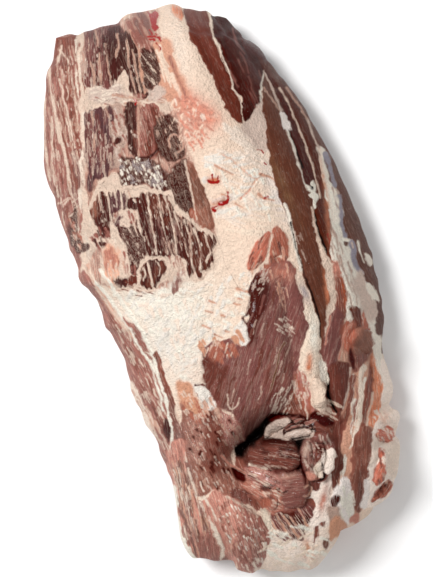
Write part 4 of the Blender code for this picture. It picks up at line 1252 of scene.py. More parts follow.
SHANK: tuple[Layer, ...] = (
    fat("fat column", Tone.LOW_FAT, "322,475 328,470 332,474 331,490 329,500 330,510 330,520 322,527 "
        "312,528 308,524 313,515 314,505 312,498 303,495 308,490 316,488", fade=1.6, puff=0.9,
        run=(-0.3, 1), fringe=1.0),
    Blush(Tone.RIB_BROWN, (327, 482, 14, 2.6, 98), 0.6),
    Blush(Tone.ORANGE_FAT, (323, 502, 10, 3.6, 100), 1.0),
    Patch("striated muscle", Tone.STRIATED, "268,512 274,512 282,509 290,507 296,504 303,502 310,505 "
        "313,512 311,520 307,526 306,532 303,538 298,540 291,539 285,541 278,536 272,527", run=(0.6, 0.8),
        puff=1.2, fringe=1.5),
    Streaks(Tone.LAYER_D, "270,512 300,504 310,510 304,534 286,536", 18, 16, 3.0, (0.62, 0.8),
        Tissue.LEAN),
    *(seam("striated line", Tone.SALMON, 1.7, path, line_end=2.4, puff=0.3)
      for path in ("269,516 275,527 282,537", "276,514 283,526 290,538", "283,516 291,527 299,538",
          "290,517 297,526 304,534", "298,508 304,518 308,526")),
    fat("white gristle", Tone.GRISTLE, "262,508 266,508 269,515 271,525 269,538 266,530 262,518",
        puff=0.6, fringe=1.0),
    Patch("inner muscle", Tone.INNER_LOW, "184,397 194,392 204,392 212,402 220,408 230,416 240,428 "
        "242,440 236,447 232,458 236,468 240,482 248,494 248,503 238,502 226,496 212,490 203,496 195,494 "
        "188,480 184,462 182,440 182,415", run=(0.35, 1), soft=2.0, puff=1.2, rim=10, wet=0.35),
    Patch("inner muscle dark", Tone.INNER, "200,424 206,420 218,426 222,436 226,452 222,464 215,470 "
        "206,466 201,450", fade=7.0, run=(0.35, 1)),
    Patch("inner muscle glossy", Tone.INNER_GLOSS, "189,420 198,420 201,440 202,458 196,462 190,446",
        fade=4.0, run=(0.3, 1), wet=0.9),
    Patch("inner muscle crumbs", Tone.PINK_MEAT, "222,410 230,416 240,430 243,442 240,450 231,446 "
        "224,428", fade=3.0, speckle=0.4, wet=0.9),
    Streaks(Tone.LEFT_PALE, "190,418 226,410 242,432 240,448 222,440 204,424", 24, 5, 1.3, (0.8, 1)),
    Streaks(Tone.LEFT_PALE, "190,440 202,440 230,474 240,494 222,496 202,480", 14, 5, 1.2, (0.5, 1)),
    # Dark spots, and painted highlights: the lilac specks are glints on the wet inner muscle.
    *(Streaks(tone, "190,420 222,412 240,434 238,448 224,448 232,470 240,494 216,490 194,478 187,450",
        count, 4, width, (0.6, 1), tissue, loose=True)
      for tissue, tone, count, width in ((Tissue.LEAN, Tone.LAYER_D, 30, 1.5),
          (Tissue.FAT, Tone.LILAC, 50, 0.8))),
    Patch("inner muscle gloss dark", Tone.FLAP_FOLD, "232,490 242,490 250,498 249,505 238,502 231,496",
        fade=2.0, wet=0.9),
    fat("orange spongy patch", Tone.SOFT_ORANGE, "178,384 190,386 198,396 206,408 200,414 190,412 "
        "183,404 180,394", fade=4.0, wet=0.4),
    Streaks(Tone.ISLE, "182,398 194,396 204,410 192,422 184,412", 15, 6, 2.0, (0.5, 1), Tissue.LEAN,
        loose=True),
    Streaks(Tone.SEAM, "180,388 194,388 204,412 190,418", 22, 4, 1.0, (0.5, 1)),
    fat("grey fat above the inner muscle", Tone.GREY_FAT, "196,386 206,388 212,398 216,407 208,410 "
        "202,402 197,394", fade=3.0),
    Streaks(Tone.LEFT_PALE, "203,398 214,400 216,412 206,412", 7, 7, 2.6, (0.4, 1), Tissue.LEAN,
        loose=True),
    Patch("left lower strips", Tone.LEFT, "98,298 103,300 110,308 118,318 126,326 133,338 140,350 "
        "147,362 152,378 158,392 163,408 168,424 170,440 171,458 166,462 162,452 156,440 152,428 151,412 "
        "148,400 142,390 134,376 126,360 118,344 110,328 104,314", run=(0.5, 1), soft=2.0, puff=1.2,
        fringe=1.0),
    Streaks(Tone.LEFT_DARK, "106,308 118,322 138,350 150,378 160,406 168,440 156,430 140,386 118,342", 16,
        18, 3.0, (0.5, 1), Tissue.LEAN),
    Streaks(Tone.SEAM, "106,308 130,332 148,366 164,410 168,450 154,436 140,386 118,342", 44, 9, 1.5,
        (0.5, 1)),
    Patch("brown stripe beside it", Tone.LEFT_PALE, "86,262 89,262 90,276 98,286 108,299 120,314 132,330 "
        "134,338 128,333 116,317 104,300 95,286 88,274", run=(0.6, 1), soft=2.0, fringe=0.8),
    seam("cream line beside it", Tone.SEAM, 1.8, "96,288 104,299 114,312 124,326 130,336"),
    seam("white line one", Tone.WHITE_FAT, 3.0, "96,283 103,291 112,303 122,317 130,329 138,344 146,357 "
        "152,366 155,380 160,395 163,410", line_end=2.4, puff=0.6),
    Patch("brown between the lines", Tone.LEFT, "123,315 127,319 134,325 140,333 145,343 149,352 144,350 "
        "138,340 131,330 126,322", run=(0.6, 1), soft=1.8),
    seam("white line two", Tone.WHITE_FAT, 3.4, "100,270 108,281 116,293 126,308 134,320 142,332 148,345 "
        "153,356 156,368 160,382 164,395 168,410 171,426 172,442 171,456", line_end=3.0, puff=0.9),
    Patch("red-brown strip", Tone.LEFT_DARK, "152,352 154,351 160,358 164,370 166,384 170,394 174,403 "
        "176,412 181,424 184,438 183,452 178,450 174,436 172,420 168,404 163,390 160,378 157,365",
        run=(0.3, 1), soft=1.6, fringe=0.8),
    Blush(Tone.FAN_GREY, (177, 428, 26, 5, 78), 0.9, Tissue.LEAN),
    Patch("dark spot on the left", Tone.RIB_DARK, "165,419 168,421 170,432 168,442 166,432", soft=1.6),
    fat("bulge on the left", Tone.SHEET_PALE, "128,380 134,383 139,393 144,404 150,414 153,428 156,440 "
        "148,432 140,418 132,402", fade=1.6, puff=1.0),
    Streaks(Tone.LEFT_PALE, "130,384 140,392 152,424 144,422", 9, 10, 2.4, (0.5, 1), Tissue.LEAN,
        loose=True),
    Patch("shank muscle", Tone.SHANK, "170,448 176,440 182,440 186,460 189,476 195,492 200,500 210,496 "
        "218,510 224,530 230,550 236,566 226,566 206,564 190,560 178,546 172,520 170,495 168,474",
        run=(0.22, 1), soft=1.6, puff=1.2, rim=8, fringe=1.0),
    Streaks(Tone.DIAGONAL_DARK, "176,456 190,470 204,510 222,552 200,556 184,520", 34, 26, 3.0, (0.28, 1),
        Tissue.LEAN),
    Streaks(Tone.FAN_GREY, "176,456 186,460 198,500 204,540 190,540 180,500", 18, 26, 3.0, (0.24, 1),
        Tissue.LEAN),
    *(Streaks(tone, "174,448 188,462 204,506 216,548 196,552 180,510", count, 18, 0.9, (0.26, 1))
      for tone, count in ((Tone.SALMON, 40), (Tone.PALE_SEAM, 16))),
    *(seam("shank white gap", Tone.PALE_SEAM, width, path, line_end=1.0)
      for width, path in ((1.5, "185,453 187,462"), (1.8, "188,469 190,475 192,482"),
          (1.8, "192,482 195,489 197,496"), (1.3, "200,482 202,487 204,491"),
          (2.2, "204,497 209,505 214,513 217,521"))),
    Patch("red flesh", Tone.LEFT, "203,536 211,532 218,545 221,556 218,562 208,560 201,552", fade=4.0),
    fat("white wedge between", Tone.PALE_SEAM, "209,517 213,523 219,534 223,546 225,558 222,562 221,550 "
        "217,540 212,528", fade=1.5),
    Patch("low muscle", Tone.SHANK, "212,490 220,492 228,497 238,502 247,507 256,515 263,522 267,532 "
        "268,545 265,556 258,569 252,575 240,575 236,563 228,556 224,540 219,525 215,510 210,500",
        run=(0.3, 1), soft=1.6, puff=1.8, rim=8, fringe=0.8),
    Patch("low muscle dark side", Tone.LEFT, "246,508 258,518 266,532 266,550 258,564 246,566 240,552 "
        "244,530", fade=9.0, run=(0.3, 1)),
    Streaks(Tone.LEFT_DARK, "222,502 254,516 266,540 256,564 242,566 226,540", 30, 5, 1.8, (0.4, 1),
        Tissue.LEAN),
    # Painted highlights: tiny salmon and white specks, the glints of the wet low muscle.
    *(Streaks(tone, "216,500 254,516 266,540 256,566 242,568 226,540", count, 2.4, 0.8, (0.5, 1))
      for tone, count in ((Tone.SALMON, 40), (Tone.WHITE_FAT, 60))),
    seam("low muscle top line", Tone.SEAM, 1.7, "226,496 236,502 244,507 250,510 257,517"),
    Streaks(Tone.PALE_SEAM, "240,560 260,556 256,572 242,572", 7, 7, 2.2, (0.6, 1)),
    fat("fringe edge", Tone.WHITE_FAT, "172,484 177,490 178,510 181,525 185,540 192,552 198,560 188,560 "
        "178,546 173,524 171,500", wet=0.2, puff=0.8, fade=1.5),
    Patch("bottom line", Tone.LEFT_DARK, "316,526 319,525 318,534 314,546 312,549 313,540", soft=1.6,
        fringe=1.0),
    Patch("bottom dark one", Tone.DIAGONAL_DARK, "322,541 330,538 328,546 324,551", soft=2.0, fringe=1.0),
    Patch("bottom dark two", Tone.LEFT_DARK, "319,524 325,522 323,527", soft=1.5),
    Blush(Tone.SOFT_ORANGE, (308, 550, 11, 5, 75), 1.0),
    *(Streaks(tone, "262,540 318,530 328,552 300,566 268,562", 20, 8, 2.6, run, puff=0.4)
      for tone, run in ((Tone.SHEET_PALE, (0.6, 1)), (Tone.WARM_FAT, (-1, 0.6)),
          (Tone.WHITE_FAT, (1, 0.4)))),
    Patch("low right dark strip", Tone.LAYER_H, "341,416 343,425 341,435 342,450 343,462 341,472 338,482 "
        "333,492 331,486 332,470 334,455 333,440 335,428", run=(0, 1), puff=0.8),
    Patch("layer J", Tone.LAYER_J, "354,438 360,429 364,425 369,426 372,430 371,440 371,452 370,466 "
        "368,480 365,492 362,503 360,513 356,508 354,496 352,482 351,470 352,455 352,445", run=(-0.05, 1),
        puff=1.4, fringe=1.0),
    Blush(Tone.RIB_DARK, (360, 486, 26, 3, 92), 0.5, Tissue.LEAN),
    fat("grey strip by J", Tone.MEMBRANE, "366,480 369,480 368,494 366,508 363,508 364,494", fade=1.5),
    fat("membrane", Tone.MEMBRANE, "338,486 345,477 350,480 352,490 354,502 354,512 352,518 349,525 "
        "345,524 339,518 333,514 331,505 331,497 334,490", fade=1.6, wet=0.2, puff=0.9),
    Streaks(Tone.WHITE_FAT, "336,488 350,482 352,504 344,520 336,512", 12, 12, 2.4, (0.25, 1)),
    Patch("dark spot in the membrane", Tone.FAN_DARK, "330,498 334,495 341,497 338,504 333,506",
        soft=2.5),
    fat("tan under the membrane", Tone.DULL, "330,506 336,506 338,516 333,524 330,520", fade=3.0),
    fat("peach corner", Tone.SOFT_ORANGE, "331,520 338,518 343,523 347,527 342,531 336,536 332,540 "
        "330,530", fade=2.0),
    fat("tan corner", Tone.ORANGE_FAT, "352,516 359,513 358,520 352,524", fade=2.0),
    *(fat("edge fat", tone, outline, fade=2.0, puff=0.6, fringe=1.5)
      for tone, outline in ((Tone.SHEET_PALE, "388,440 398,444 398,470 392,478 388,460"),
          (Tone.BAND_LOW, "374,436 378,442 376,462 372,466 373,450"))),
    Patch("edge island one", Tone.ISLAND, "375,436 379,430 384,429 388,426 393,430 394,436 390,441 "
        "382,441 377,440", run=(1, 0.3), puff=0.8, fade=2.0, soft=2.0, fringe=1.5),
    Patch("edge island three", Tone.ISLAND, "373,481 374,470 378,462 377,455 380,450 385,450 384,458 "
        "386,466 386,474 382,481 377,485", run=(-0.2, 1), puff=0.8, fade=1.6, soft=1.6, fringe=1.5),
    Patch("edge island four", Tone.ISLE, "372,501 375,492 380,486 386,480 392,480 393,487 386,495 "
        "380,500", run=(-0.8, 1), puff=0.8, fade=1.6, soft=1.6, fringe=1.0),
    Streaks(Tone.SHEET_PALE, "376,404 396,408 398,470 388,476 380,440", 26, 7, 3.0, (0.8, 1), puff=0.6),
    Streaks(Tone.BAND_LOW, "376,408 392,412 395,440 390,470 384,446", 14, 5, 1.6, (0.6, 1), puff=-0.3),
    *(Streaks(tone, "376,430 392,428 388,484 374,498 374,470", count, 6, 2.0, (0.3, 1), Tissue.LEAN)
      for tone, count in ((Tone.LAYER_H, 26), (Tone.LEFT_PALE, 8))),
)

UNDERSIDE: tuple[Layer, ...] = (
    Patch("underside window one", Tone.LEFT_PALE, "100,120 130,100 160,130 180,190 170,240 140,230 "
        "115,180", run=(0.2, 1), soft=8.0, fade=10.0),
    Patch("underside window two", Tone.LEFT, "240,200 270,190 300,240 320,310 300,350 270,300 250,250",
        run=(0.3, 1), soft=8.0, fade=10.0),
    Patch("underside window three", Tone.SHANK, "190,380 230,370 260,410 270,470 250,510 220,470 200,430",
        run=(0.4, 1), soft=8.0, fade=10.0),
    Patch("underside window four", Tone.LEFT_DARK, "290,420 320,400 340,440 330,490 300,480",
        run=(0.1, 1), soft=6.0, fade=8.0),
    seam("underside seam one", Tone.PALE_SEAM, 2.9, "90,90 150,160 200,260 240,380 280,520"),
    seam("underside seam two", Tone.PALE_SEAM, 2.2, "220,60 240,150 290,260 340,400"),
)

LAYERS: tuple[Layer, ...] = (
    *FAT_FIELDS, *GROUNDS, *LEFT_FLANK, *RIB_ROWS, *RIB_FAN, *SHEET_MARKS, *UPPER_RIGHT, *RIGHT_FLANK,
    *MIDDLE, *SHANK, *POCKET,
)


def lay_all(layers: tuple[Layer, ...], pixels: Array) -> Canvas:
    """Lays layers on a new canvas, in order."""
    canvas = Canvas(pixels)
    for number, layer in enumerate(layers):
        layer.lay(canvas, number)
    return canvas


# --------------------------------------------------------------------------------------------
# Meshes
# --------------------------------------------------------------------------------------------

def fill_mesh(name: str, points: Array, faces: list[Array], canvases: list[Canvas],
              maps: list[Array] | None = None) -> bpy.types.Object:
    """Makes an object from points, faces and what the canvases say of each point.

    Args:
        name: The object's name.
        points: The points, in millimetres.
        faces: Arrays of point numbers, one face a row, each array with faces of one size.
        canvases: The canvases of the points, in their order.
        maps: For each array of faces, the map place of each corner.

    Returns:
        The object, linked to the scene.
    """
    mesh = bpy.data.meshes.new(name)
    sizes = np.concatenate([np.full(len(group), group.shape[1]) for group in faces])
    corners = np.concatenate([group.ravel() for group in faces])
    mesh.vertices.add(len(points))
    mesh.vertices.foreach_set("co", (points * METRE).astype(np.float32).ravel())
    mesh.loops.add(len(corners))
    mesh.loops.foreach_set("vertex_index", corners.astype(np.int32))
    mesh.polygons.add(len(sizes))
    mesh.polygons.foreach_set("loop_start", np.concatenate([[0], np.cumsum(sizes)[:-1]]).astype(np.int32))
    mesh.update(calc_edges=True)
    mesh.validate()
    if maps:
        layer = mesh.uv_layers.new(name=BAKE_MAP)
        layer.data.foreach_set("uv", np.concatenate([group.ravel() for group in maps]))

    def joined(read: str) -> Array:
        """Returns one value of all canvases."""
        return np.concatenate([getattr(canvas, read) for canvas in canvases])

    vectors = {
        "tissue": np.column_stack([joined("field"), joined("soft"), joined("wet")]),
        "grain": joined("grain"),
        "figure": joined("figure"),
    }
    for key, values in vectors.items():
        mesh.attributes.new(key, "FLOAT_VECTOR", "POINT").data.foreach_set("vector", values.ravel())
    for key in ("lean", "fat"):
        values = np.column_stack([joined(key), np.ones(len(points))])
        mesh.attributes.new(key, "FLOAT_COLOR", "POINT").data.foreach_set("color", values.ravel())
    mesh.attributes.new("blood", "FLOAT", "POINT").data.foreach_set("value", joined("blood"))
    mesh.shade_smooth()
    piece = bpy.data.objects.new(name, mesh)
    bpy.context.scene.collection.objects.link(piece)
    return piece


def quads(rows: int, columns: int, first: int = 0, wrap: bool = False) -> Array:
    """Returns the faces of a grid, seen from its front with rows up and columns to the right."""
    j, i = np.meshgrid(np.arange(rows - 1), np.arange(columns if wrap else columns - 1), indexing="ij")
    right = (i + 1) % columns
    face = np.stack([j * columns + i, j * columns + right, (j + 1) * columns + right,
                     (j + 1) * columns + i], axis=-1)
    return face.reshape(-1, 4) + first


def rim_numbers(rows: int, columns: int) -> Array:
    """Returns the numbers of a grid's rim, all round it and against the clock from above."""
    grid = np.arange(rows * columns).reshape(rows, columns)
    return np.concatenate([grid[0, :-1], grid[:-1, -1], grid[-1, :0:-1], grid[:0:-1, 0]])


@dataclass
class ShoulderBody:
    """The body of the meat in four closed quarters: cut side, flanks and resting face.

    The cut side of a quarter is an even grid in a and b. Its rim is drawn down and in along a
    quarter ellipse, row by row, and a coarser grid closes it below. The lines a = 0 and b = 0
    are drawn down onto themselves, so that the quarters meet in upright faces.

    Attributes:
        form, view: The loaf, and the view that ties it to the picture plane.
        across, along: The steps of a quarter's grid.
        rim_rows: The rows from the rim down to the floor.
        coarser: How many steps of the grid make one of the resting face.
        lump: The height of the small lumps on the cut side, in millimetres.
        pull: How much closer the steps lie at the rim, across and along.
        draw_in: How much of a quarter the resting face's grid spans from its middle.
        hollow: How high the resting face stands in its middle, in millimetres.
        swell: The height of the lumps on the flanks, in millimetres.
        slide: How far the layers slide in and along on the flanks, across and along.
        quarters: Each quarter's name and its side of both middle lines.
    """

    form: Form
    view: View
    across: int = 200
    along: int = 400
    rim_rows: int = 8
    coarser: int = 4
    lump: float = 0.45
    pull: tuple[float, float] = (1.15, 0.7)
    draw_in: float = 0.97
    hollow: float = 0.4
    swell: float = 1.2
    slide: tuple[tuple[float, float], ...] = ((0.22, 0.3), (0.08, 0.16))
    quarters: tuple[tuple[str, int, int], ...] = (
        ("meat_rib_side", -1, 1), ("meat_outer_side", 1, 1),
        ("meat_shank_left", -1, -1), ("meat_shank_right", 1, -1))

    def parameters(self, way: tuple[int, int], across: int, along: int) -> tuple[Array, Array]:
        """Returns a and b of a quarter's grid, its steps closer at the rim: sin(k t) / sin(k)."""
        a, b = (np.sin(np.linspace(min(side, 0), max(side, 0), count + 1) * pull) / math.sin(pull)
                for side, count, pull in zip(way, (across, along), self.pull))
        b, a = np.meshgrid(b, a, indexing="ij")
        return a.ravel(), b.ravel()

    def build(self) -> list[bpy.types.Object]:
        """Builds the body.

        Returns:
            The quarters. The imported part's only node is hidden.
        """
        self.pixels, self.top = np.zeros((0, 2)), np.zeros((0, 3))
        pieces = [self.quarter(name, (side, end)) for name, side, end in self.quarters]
        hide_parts(NODE)
        return pieces

    def quarter(self, name: str, way: tuple[int, int]) -> bpy.types.Object:
        """Builds the quarter on one side of both middle lines."""
        a, b = self.parameters(way, self.across, self.along)
        rim_points = rim_numbers(self.along + 1, self.across + 1)
        rim_a, rim_b = a[rim_points], b[rim_points]
        turns = np.arange(1, self.rim_rows + 1) / self.rim_rows
        wall_a, share = (grid.ravel() for grid in np.meshgrid(rim_a, turns))
        wall_b = np.tile(rim_b, self.rim_rows)
        pixels = self.form.outline_point(a, b)
        canvas = lay_all(LAYERS, np.vstack([pixels, self.folded(wall_a, wall_b, share)]))
        top = self.cut_side(a, b, pixels, canvas)
        outside = np.maximum(abs(wall_a), abs(wall_b)) ** BORDER
        inner = np.flatnonzero(outside < 0.5)
        under = lay_all(UNDERSIDE, self.form.outline_point(wall_a[inner], wall_b[inner]))
        for key, values in vars(under).items():
            getattr(canvas, key)[len(pixels) + inner] = values
        wall = self.wall(wall_a, wall_b, share, canvas.relief[len(pixels):] * outside,
                         np.tile(top[rim_points, 2], self.rim_rows))
        sizes = self.across // self.coarser, self.along // self.coarser
        floor_a, floor_b = self.parameters(way, *sizes)
        draw = 1 - 2 * (self.form.undercut + 2) / np.array([self.form.width, self.form.length])
        drawn_a, drawn_b = ((side / 2 + (value - side / 2) * self.draw_in) * pull
                            for side, value, pull in zip(way, (floor_a, floor_b), draw))
        floor_pixels = self.form.outline_point(drawn_a, drawn_b)
        floor_height = self.hollow * (1 - np.maximum(abs(floor_a), abs(floor_b)) ** BORDER)
        floor = np.column_stack([self.view.place(floor_pixels, self.form.rim(floor_a))[:, :2],
                                 floor_height])
        faces, maps = self.faces(way, a, b, floor_a, floor_b)
        piece = fill_mesh(name, np.vstack([top, wall, floor]), faces,
                          [canvas, lay_all(UNDERSIDE, floor_pixels)], maps)
        cut = (rim_a == 0) & (np.roll(rim_a, -1) == 0) | (rim_b == 0) & (np.roll(rim_b, -1) == 0)
        sharp = np.zeros(len(piece.data.polygons), dtype=bool)
        start = self.across * self.along
        sharp[start:start + len(wall)] = np.tile(cut, self.rim_rows)
        piece.data.attributes.new("sharp_face", "BOOLEAN", "FACE").data.foreach_set("value", sharp)
        self.pixels = np.vstack([self.pixels, pixels])
        self.top = np.vstack([self.top, top])
        return piece

    def folded(self, a: Array, b: Array, share: Array) -> Array:
        """Returns what lies on the flanks: the layers inside the rim, folded over it, slid along."""
        pixels = self.form.outline_point(*(
            side * (1 - inward * share) + along * share * (1 - side ** 2)
            for side, (inward, along) in zip((a, b), self.slide)))
        waver = np.column_stack([lattice_noise(pixels + share[:, None] * 40, 23.0, seed)
                                 for seed in (3, 4)])
        return pixels + waver * 9 * share[:, None]

    def cut_side(self, a: Array, b: Array, pixels: Array, canvas: Canvas) -> Array:
        """Returns the points of the cut side: the form's height, the layers' relief and lumps."""
        height = self.form.height(a, b, self.view.on_level(pixels))
        relief = canvas.relief[:len(pixels)].reshape(self.along + 1, self.across + 1)
        for _ in range(2):
            for grid in (relief, relief.T):
                grid[1:-1] = grid[1:-1] / 2 + (grid[2:] + grid[:-2]) / 4
        lumps = (lattice_noise(pixels, 13.0, 1) + 0.6 * lattice_noise(pixels, 6.0, 2)) * self.lump
        fade = np.sqrt(self.form.rise(a, b))
        return self.view.place(pixels, height + (relief.ravel() + lumps) * fade)

    def wall(self, a: Array, b: Array, share: Array, relief: Array, start: Array) -> Array:
        """Returns the rows below the rim: a quarter ellipse, swelling where its layers do."""
        turn = share * math.pi / 2
        inset = 2 * self.form.undercut * (1 - np.cos(turn))
        a, b = a * (1 - inset / self.form.width), b * (1 - inset / self.form.length)
        drawn = self.form.outline_point(a, b)
        plan = self.view.place(drawn, start)[:, :2]
        inside_it = self.form.outline_point(*(side * (1 - 0.02 * side ** BORDER) for side in (a, b)))
        outward = plan - self.view.place(inside_it, start)[:, :2]
        outward /= np.maximum(np.linalg.norm(outward, axis=1, keepdims=True), 0.05)
        swell = relief + lattice_noise(drawn + share[:, None] * 30, 14.0, 5) * self.swell
        swell *= np.maximum(abs(a), abs(b)) ** BORDER
        plan = plan + outward * (np.clip(swell, -2, 2) * np.sin(turn * 2) * 0.8)[:, None]
        height = np.where(share > 0.999, 0.0, start * (1 - np.sin(turn)))
        return np.column_stack([plan, height])

    def faces(self, way: tuple[int, int], a: Array, b: Array, floor_a: Array,
              floor_b: Array) -> tuple[list[Array], list[Array]]:
        """Joins the points: cut side, walls, a ring of many-sided faces, and the resting face.

        On the map the cut side is a tall field with the walls as a frame round it, and the
        resting face is a smaller field beside it with the ring as its frame.

        Returns:
            The faces by size, and the map places of their corners.
        """
        rim_points = rim_numbers(self.along + 1, self.across + 1)
        round_rim, top = len(rim_points), len(a)
        columns = self.across // self.coarser + 1
        rows = self.along // self.coarser + 1
        loops = np.vstack([rim_points, top + np.arange(self.rim_rows * round_rim).reshape(-1, round_rim)])
        floor_first = top + self.rim_rows * round_rim
        inner = rim_numbers(rows, columns) + floor_first
        flank = np.stack([loops[:-1], loops[1:], np.roll(loops[1:], -1, 1), np.roll(loops[:-1], -1, 1)],
                         axis=-1).reshape(-1, 4)
        outer = np.roll(loops[-1], -1)[:round_rim].reshape(-1, self.coarser)
        start = loops[-1][::self.coarser]
        ring = np.column_stack([start, inner, np.roll(inner, -1), outer[:, ::-1]])
        faces = [np.vstack([quads(self.along + 1, self.across + 1), flank]), ring,
                 quads(rows, columns, floor_first)[:, ::-1]]
        # The tall field and its frame fill the map's left two thirds, the small one part of the rest.
        grown = 1 + 0.16 * np.arange(self.rim_rows + 1) / self.rim_rows
        size = np.stack([np.repeat(grown, round_rim), np.repeat(1 + (grown - 1) / 2, round_rim)], 1)
        spread = np.column_stack([a, b]) * 2 - way
        rim_ab = spread[rim_points]
        frame_ab = np.tile(rim_ab, (self.rim_rows + 1, 1)) * size
        tall = np.vstack([spread, frame_ab[round_rim:]]) / (1.17, 1.085)
        tall = (tall + 1) / 2 * (0.62, 0.98) + (0.01, 0.01)
        small = np.zeros((floor_first + len(floor_a), 2))
        small[loops[-1]] = rim_ab * (1.05, 1.025)
        small[floor_first:] = np.column_stack([floor_a, floor_b]) * 2 - way
        small = (small / 1.06 + 1) / 2 * (0.34, 0.64) + (0.65, 0.01)
        tall = np.vstack([tall, np.zeros((len(floor_a), 2))])
        return faces, [tall[faces[0]], small[ring], small[faces[2]]]

    def height_at(self, pixels: Array) -> Array:
        """Returns the height of the cut side where it shows at picture points."""
        gaps = ((self.pixels[None] - pixels[:, None]) ** 2).sum(axis=2)
        return self.top[gaps.argmin(axis=1), 2]


@dataclass(frozen=True)
class Lobe:
    """A loose lobe of meat or fat: a flat tube along a path, round at its ends, part sunk in the body.

    Attributes:
        name: Its name.
        path: The middle line on the picture plane.
        width: Its width, in picture steps.
        thick: Half its thickness.
        lift: How far its middle line lies over the body.
        lift_end: The same at its end.
        blunt: How blunt its ends are.
    """

    name: str
    path: Flat
    width: float
    thick: float
    lift: float
    lift_end: float | None = None
    blunt: float = 3.0
    rings: int = 44
    sides: int = 28

    def build(self, body: ShoulderBody) -> bpy.types.Object:
        """Builds the lobe.

        The centre runs along the path. Round it goes (width cos v, thick sin v), both times
        (1 - |2u - 1|^blunt)^(1/2), which closes the ends, with a little smooth noise.
        """
        u = (1 - np.cos(np.linspace(0, math.pi, self.rings + 2))) / 2
        line = by_length(round_curve(pairs(self.path)), u)
        end = self.lift if self.lift_end is None else self.lift_end
        base = body.height_at(line)
        base = np.convolve(np.pad(base, 5, "edge"), np.ones(11) / 11, "valid")
        centre = body.view.place(line, base + self.lift + (end - self.lift) * u)
        ahead = np.gradient(centre, axis=0)
        side = np.column_stack([-ahead[:, 1], ahead[:, 0]])
        side /= np.linalg.norm(side, axis=1)[:, None]
        closing = np.sqrt(np.clip(1 - np.abs(2 * u - 1) ** self.blunt, 0, 1))
        v = np.linspace(0, 2 * math.pi, self.sides, endpoint=False)
        ring_u, ring_v = (grid.ravel() for grid in np.meshgrid(u[1:-1], v, indexing="ij"))
        seed = len(self.name)
        place = np.column_stack([ring_u * 40, np.cos(ring_v) * 9])
        wobble = 1 + 0.16 * lattice_noise(place, 7.0, seed) + 0.07 * lattice_noise(place, 3.0, seed + 1)
        swell = np.repeat(closing[1:-1], self.sides) * wobble
        rings = np.repeat(centre[1:-1], self.sides, axis=0)
        rings[:, :2] += np.repeat(side[1:-1], self.sides, axis=0) * (
            self.width * STEP / 2 * np.cos(ring_v) * swell)[:, None]
        rings[:, 2] += self.thick * np.sin(ring_v) * swell
        points = np.vstack([rings, centre[0], centre[-1]])
        count = len(rings)
        around = np.arange(self.sides)
        following = (around + 1) % self.sides
        last = count - self.sides
        tips = np.vstack([
            np.column_stack([np.full(self.sides, count), following, around]),
            np.column_stack([np.full(self.sides, count + 1), last + around, last + following])])
        faces = [quads(self.rings, self.sides, wrap=True), tips]
        canvas = lay_all(LAYERS, body.view.picture(points))
        return fill_mesh(self.name, points, faces, [canvas])


LOBES: tuple[Lobe, ...] = (
    Lobe("flap_tip", "266,437 270,429 279,423 291,421", 14, 3.6, 2.0),
    Lobe("flap_back_fold", "284,434 292,428 303,426 312,428", 9, 2.6, 1.4),
    Lobe("flap_ridge", "280,439 290,435 299,433 312,432", 9, 2.6, 3.0),
    Lobe("flap", "247,457 262,455 280,455 302,458", 32, 6.5, 3.0, 2.0, 4.0),
    Lobe("lower_fold", "270,474 286,478 294,488 288,508", 28, 5.0, 0.5, -0.5),
    Lobe("crumpled_meat", "246,470 256,473 268,478 280,488", 15, 3.0, 1.4, 0.4),
    Lobe("ragged_fat", "242,484 254,488 266,496 276,508", 15, 3.0, 0.6),
    Lobe("gristle_knob_one", "308,441 306,454 310,468 312,482", 14, 4.4, 1.8, 0.8),
    Lobe("gristle_knob_two", "310,439 318,437 328,440", 12, 3.6, 1.6),
    Lobe("gristle_knob_three", "329,444 329,456 325,470 321,482", 13, 3.2, 0.8),
    Lobe("gristle_strip", "319,446 320,458 318,472", 10, 3.0, 1.4),
    Lobe("ragged_lump", "314,378 318,390 319,408", 14, 3.2, 0.4),
    Lobe("round_muscle_end", "352,331 362,341 371,353", 26, 6.0, 1.0, blunt=2.2),
    Lobe("edge_lobe_one", "377,435 385,434 394,434", 13, 3.4, 0.4),
    Lobe("edge_lobe_two", "382,451 380,466 376,484", 12, 3.4, 0.4),
    Lobe("edge_lobe_three", "373,500 382,491 393,481", 11, 3.2, 0.2),
)


# --------------------------------------------------------------------------------------------
# Finishes
# --------------------------------------------------------------------------------------------

class Value:
    """What a node gives, with the arithmetic used here: numbers by Math nodes."""

    def __init__(self, wiring: "Wiring", socket: bpy.types.NodeSocket) -> None:
        """Holds a socket of a material's nodes."""
        self.wiring = wiring
        self.socket = socket

    def math(self, operation: str, *others: "Value | float") -> "Value":
        """Adds a Math node on this value and others."""
        inputs = dict(enumerate((self, *others)))
        return self.wiring.node("ShaderNodeMath", {"operation": operation}, inputs)

    def __add__(self, other: "Value | float") -> "Value":
        """Returns the sum."""
        return self.math("ADD", other)

    def __sub__(self, other: "Value | float") -> "Value":
        """Returns the difference."""
        return self.math("SUBTRACT", other)

    def __rsub__(self, other: float) -> "Value":
        """Returns a number less this value."""
        return (self * -1.0) + other

    def __mul__(self, other: "Value | float") -> "Value":
        """Returns the product."""
        return self.math("MULTIPLY", other)

    def __truediv__(self, other: "Value | float") -> "Value":
        """Returns the quotient."""
        return self.math("DIVIDE", other)

    __radd__ = __add__
    __rmul__ = __mul__

    def clamp(self) -> "Value":
        """Returns the value held between 0 and 1."""
        return self.math("MAXIMUM", 0.0).math("MINIMUM", 1.0)

    def step(self, low: float, high: float) -> "Value":
        """Returns a smooth step from 0 at low to 1 at high."""
        return self.wiring.node("ShaderNodeMapRange", {"interpolation_type": "SMOOTHSTEP"}, {
            "Value": self, "From Min": low, "From Max": high}, "Result")


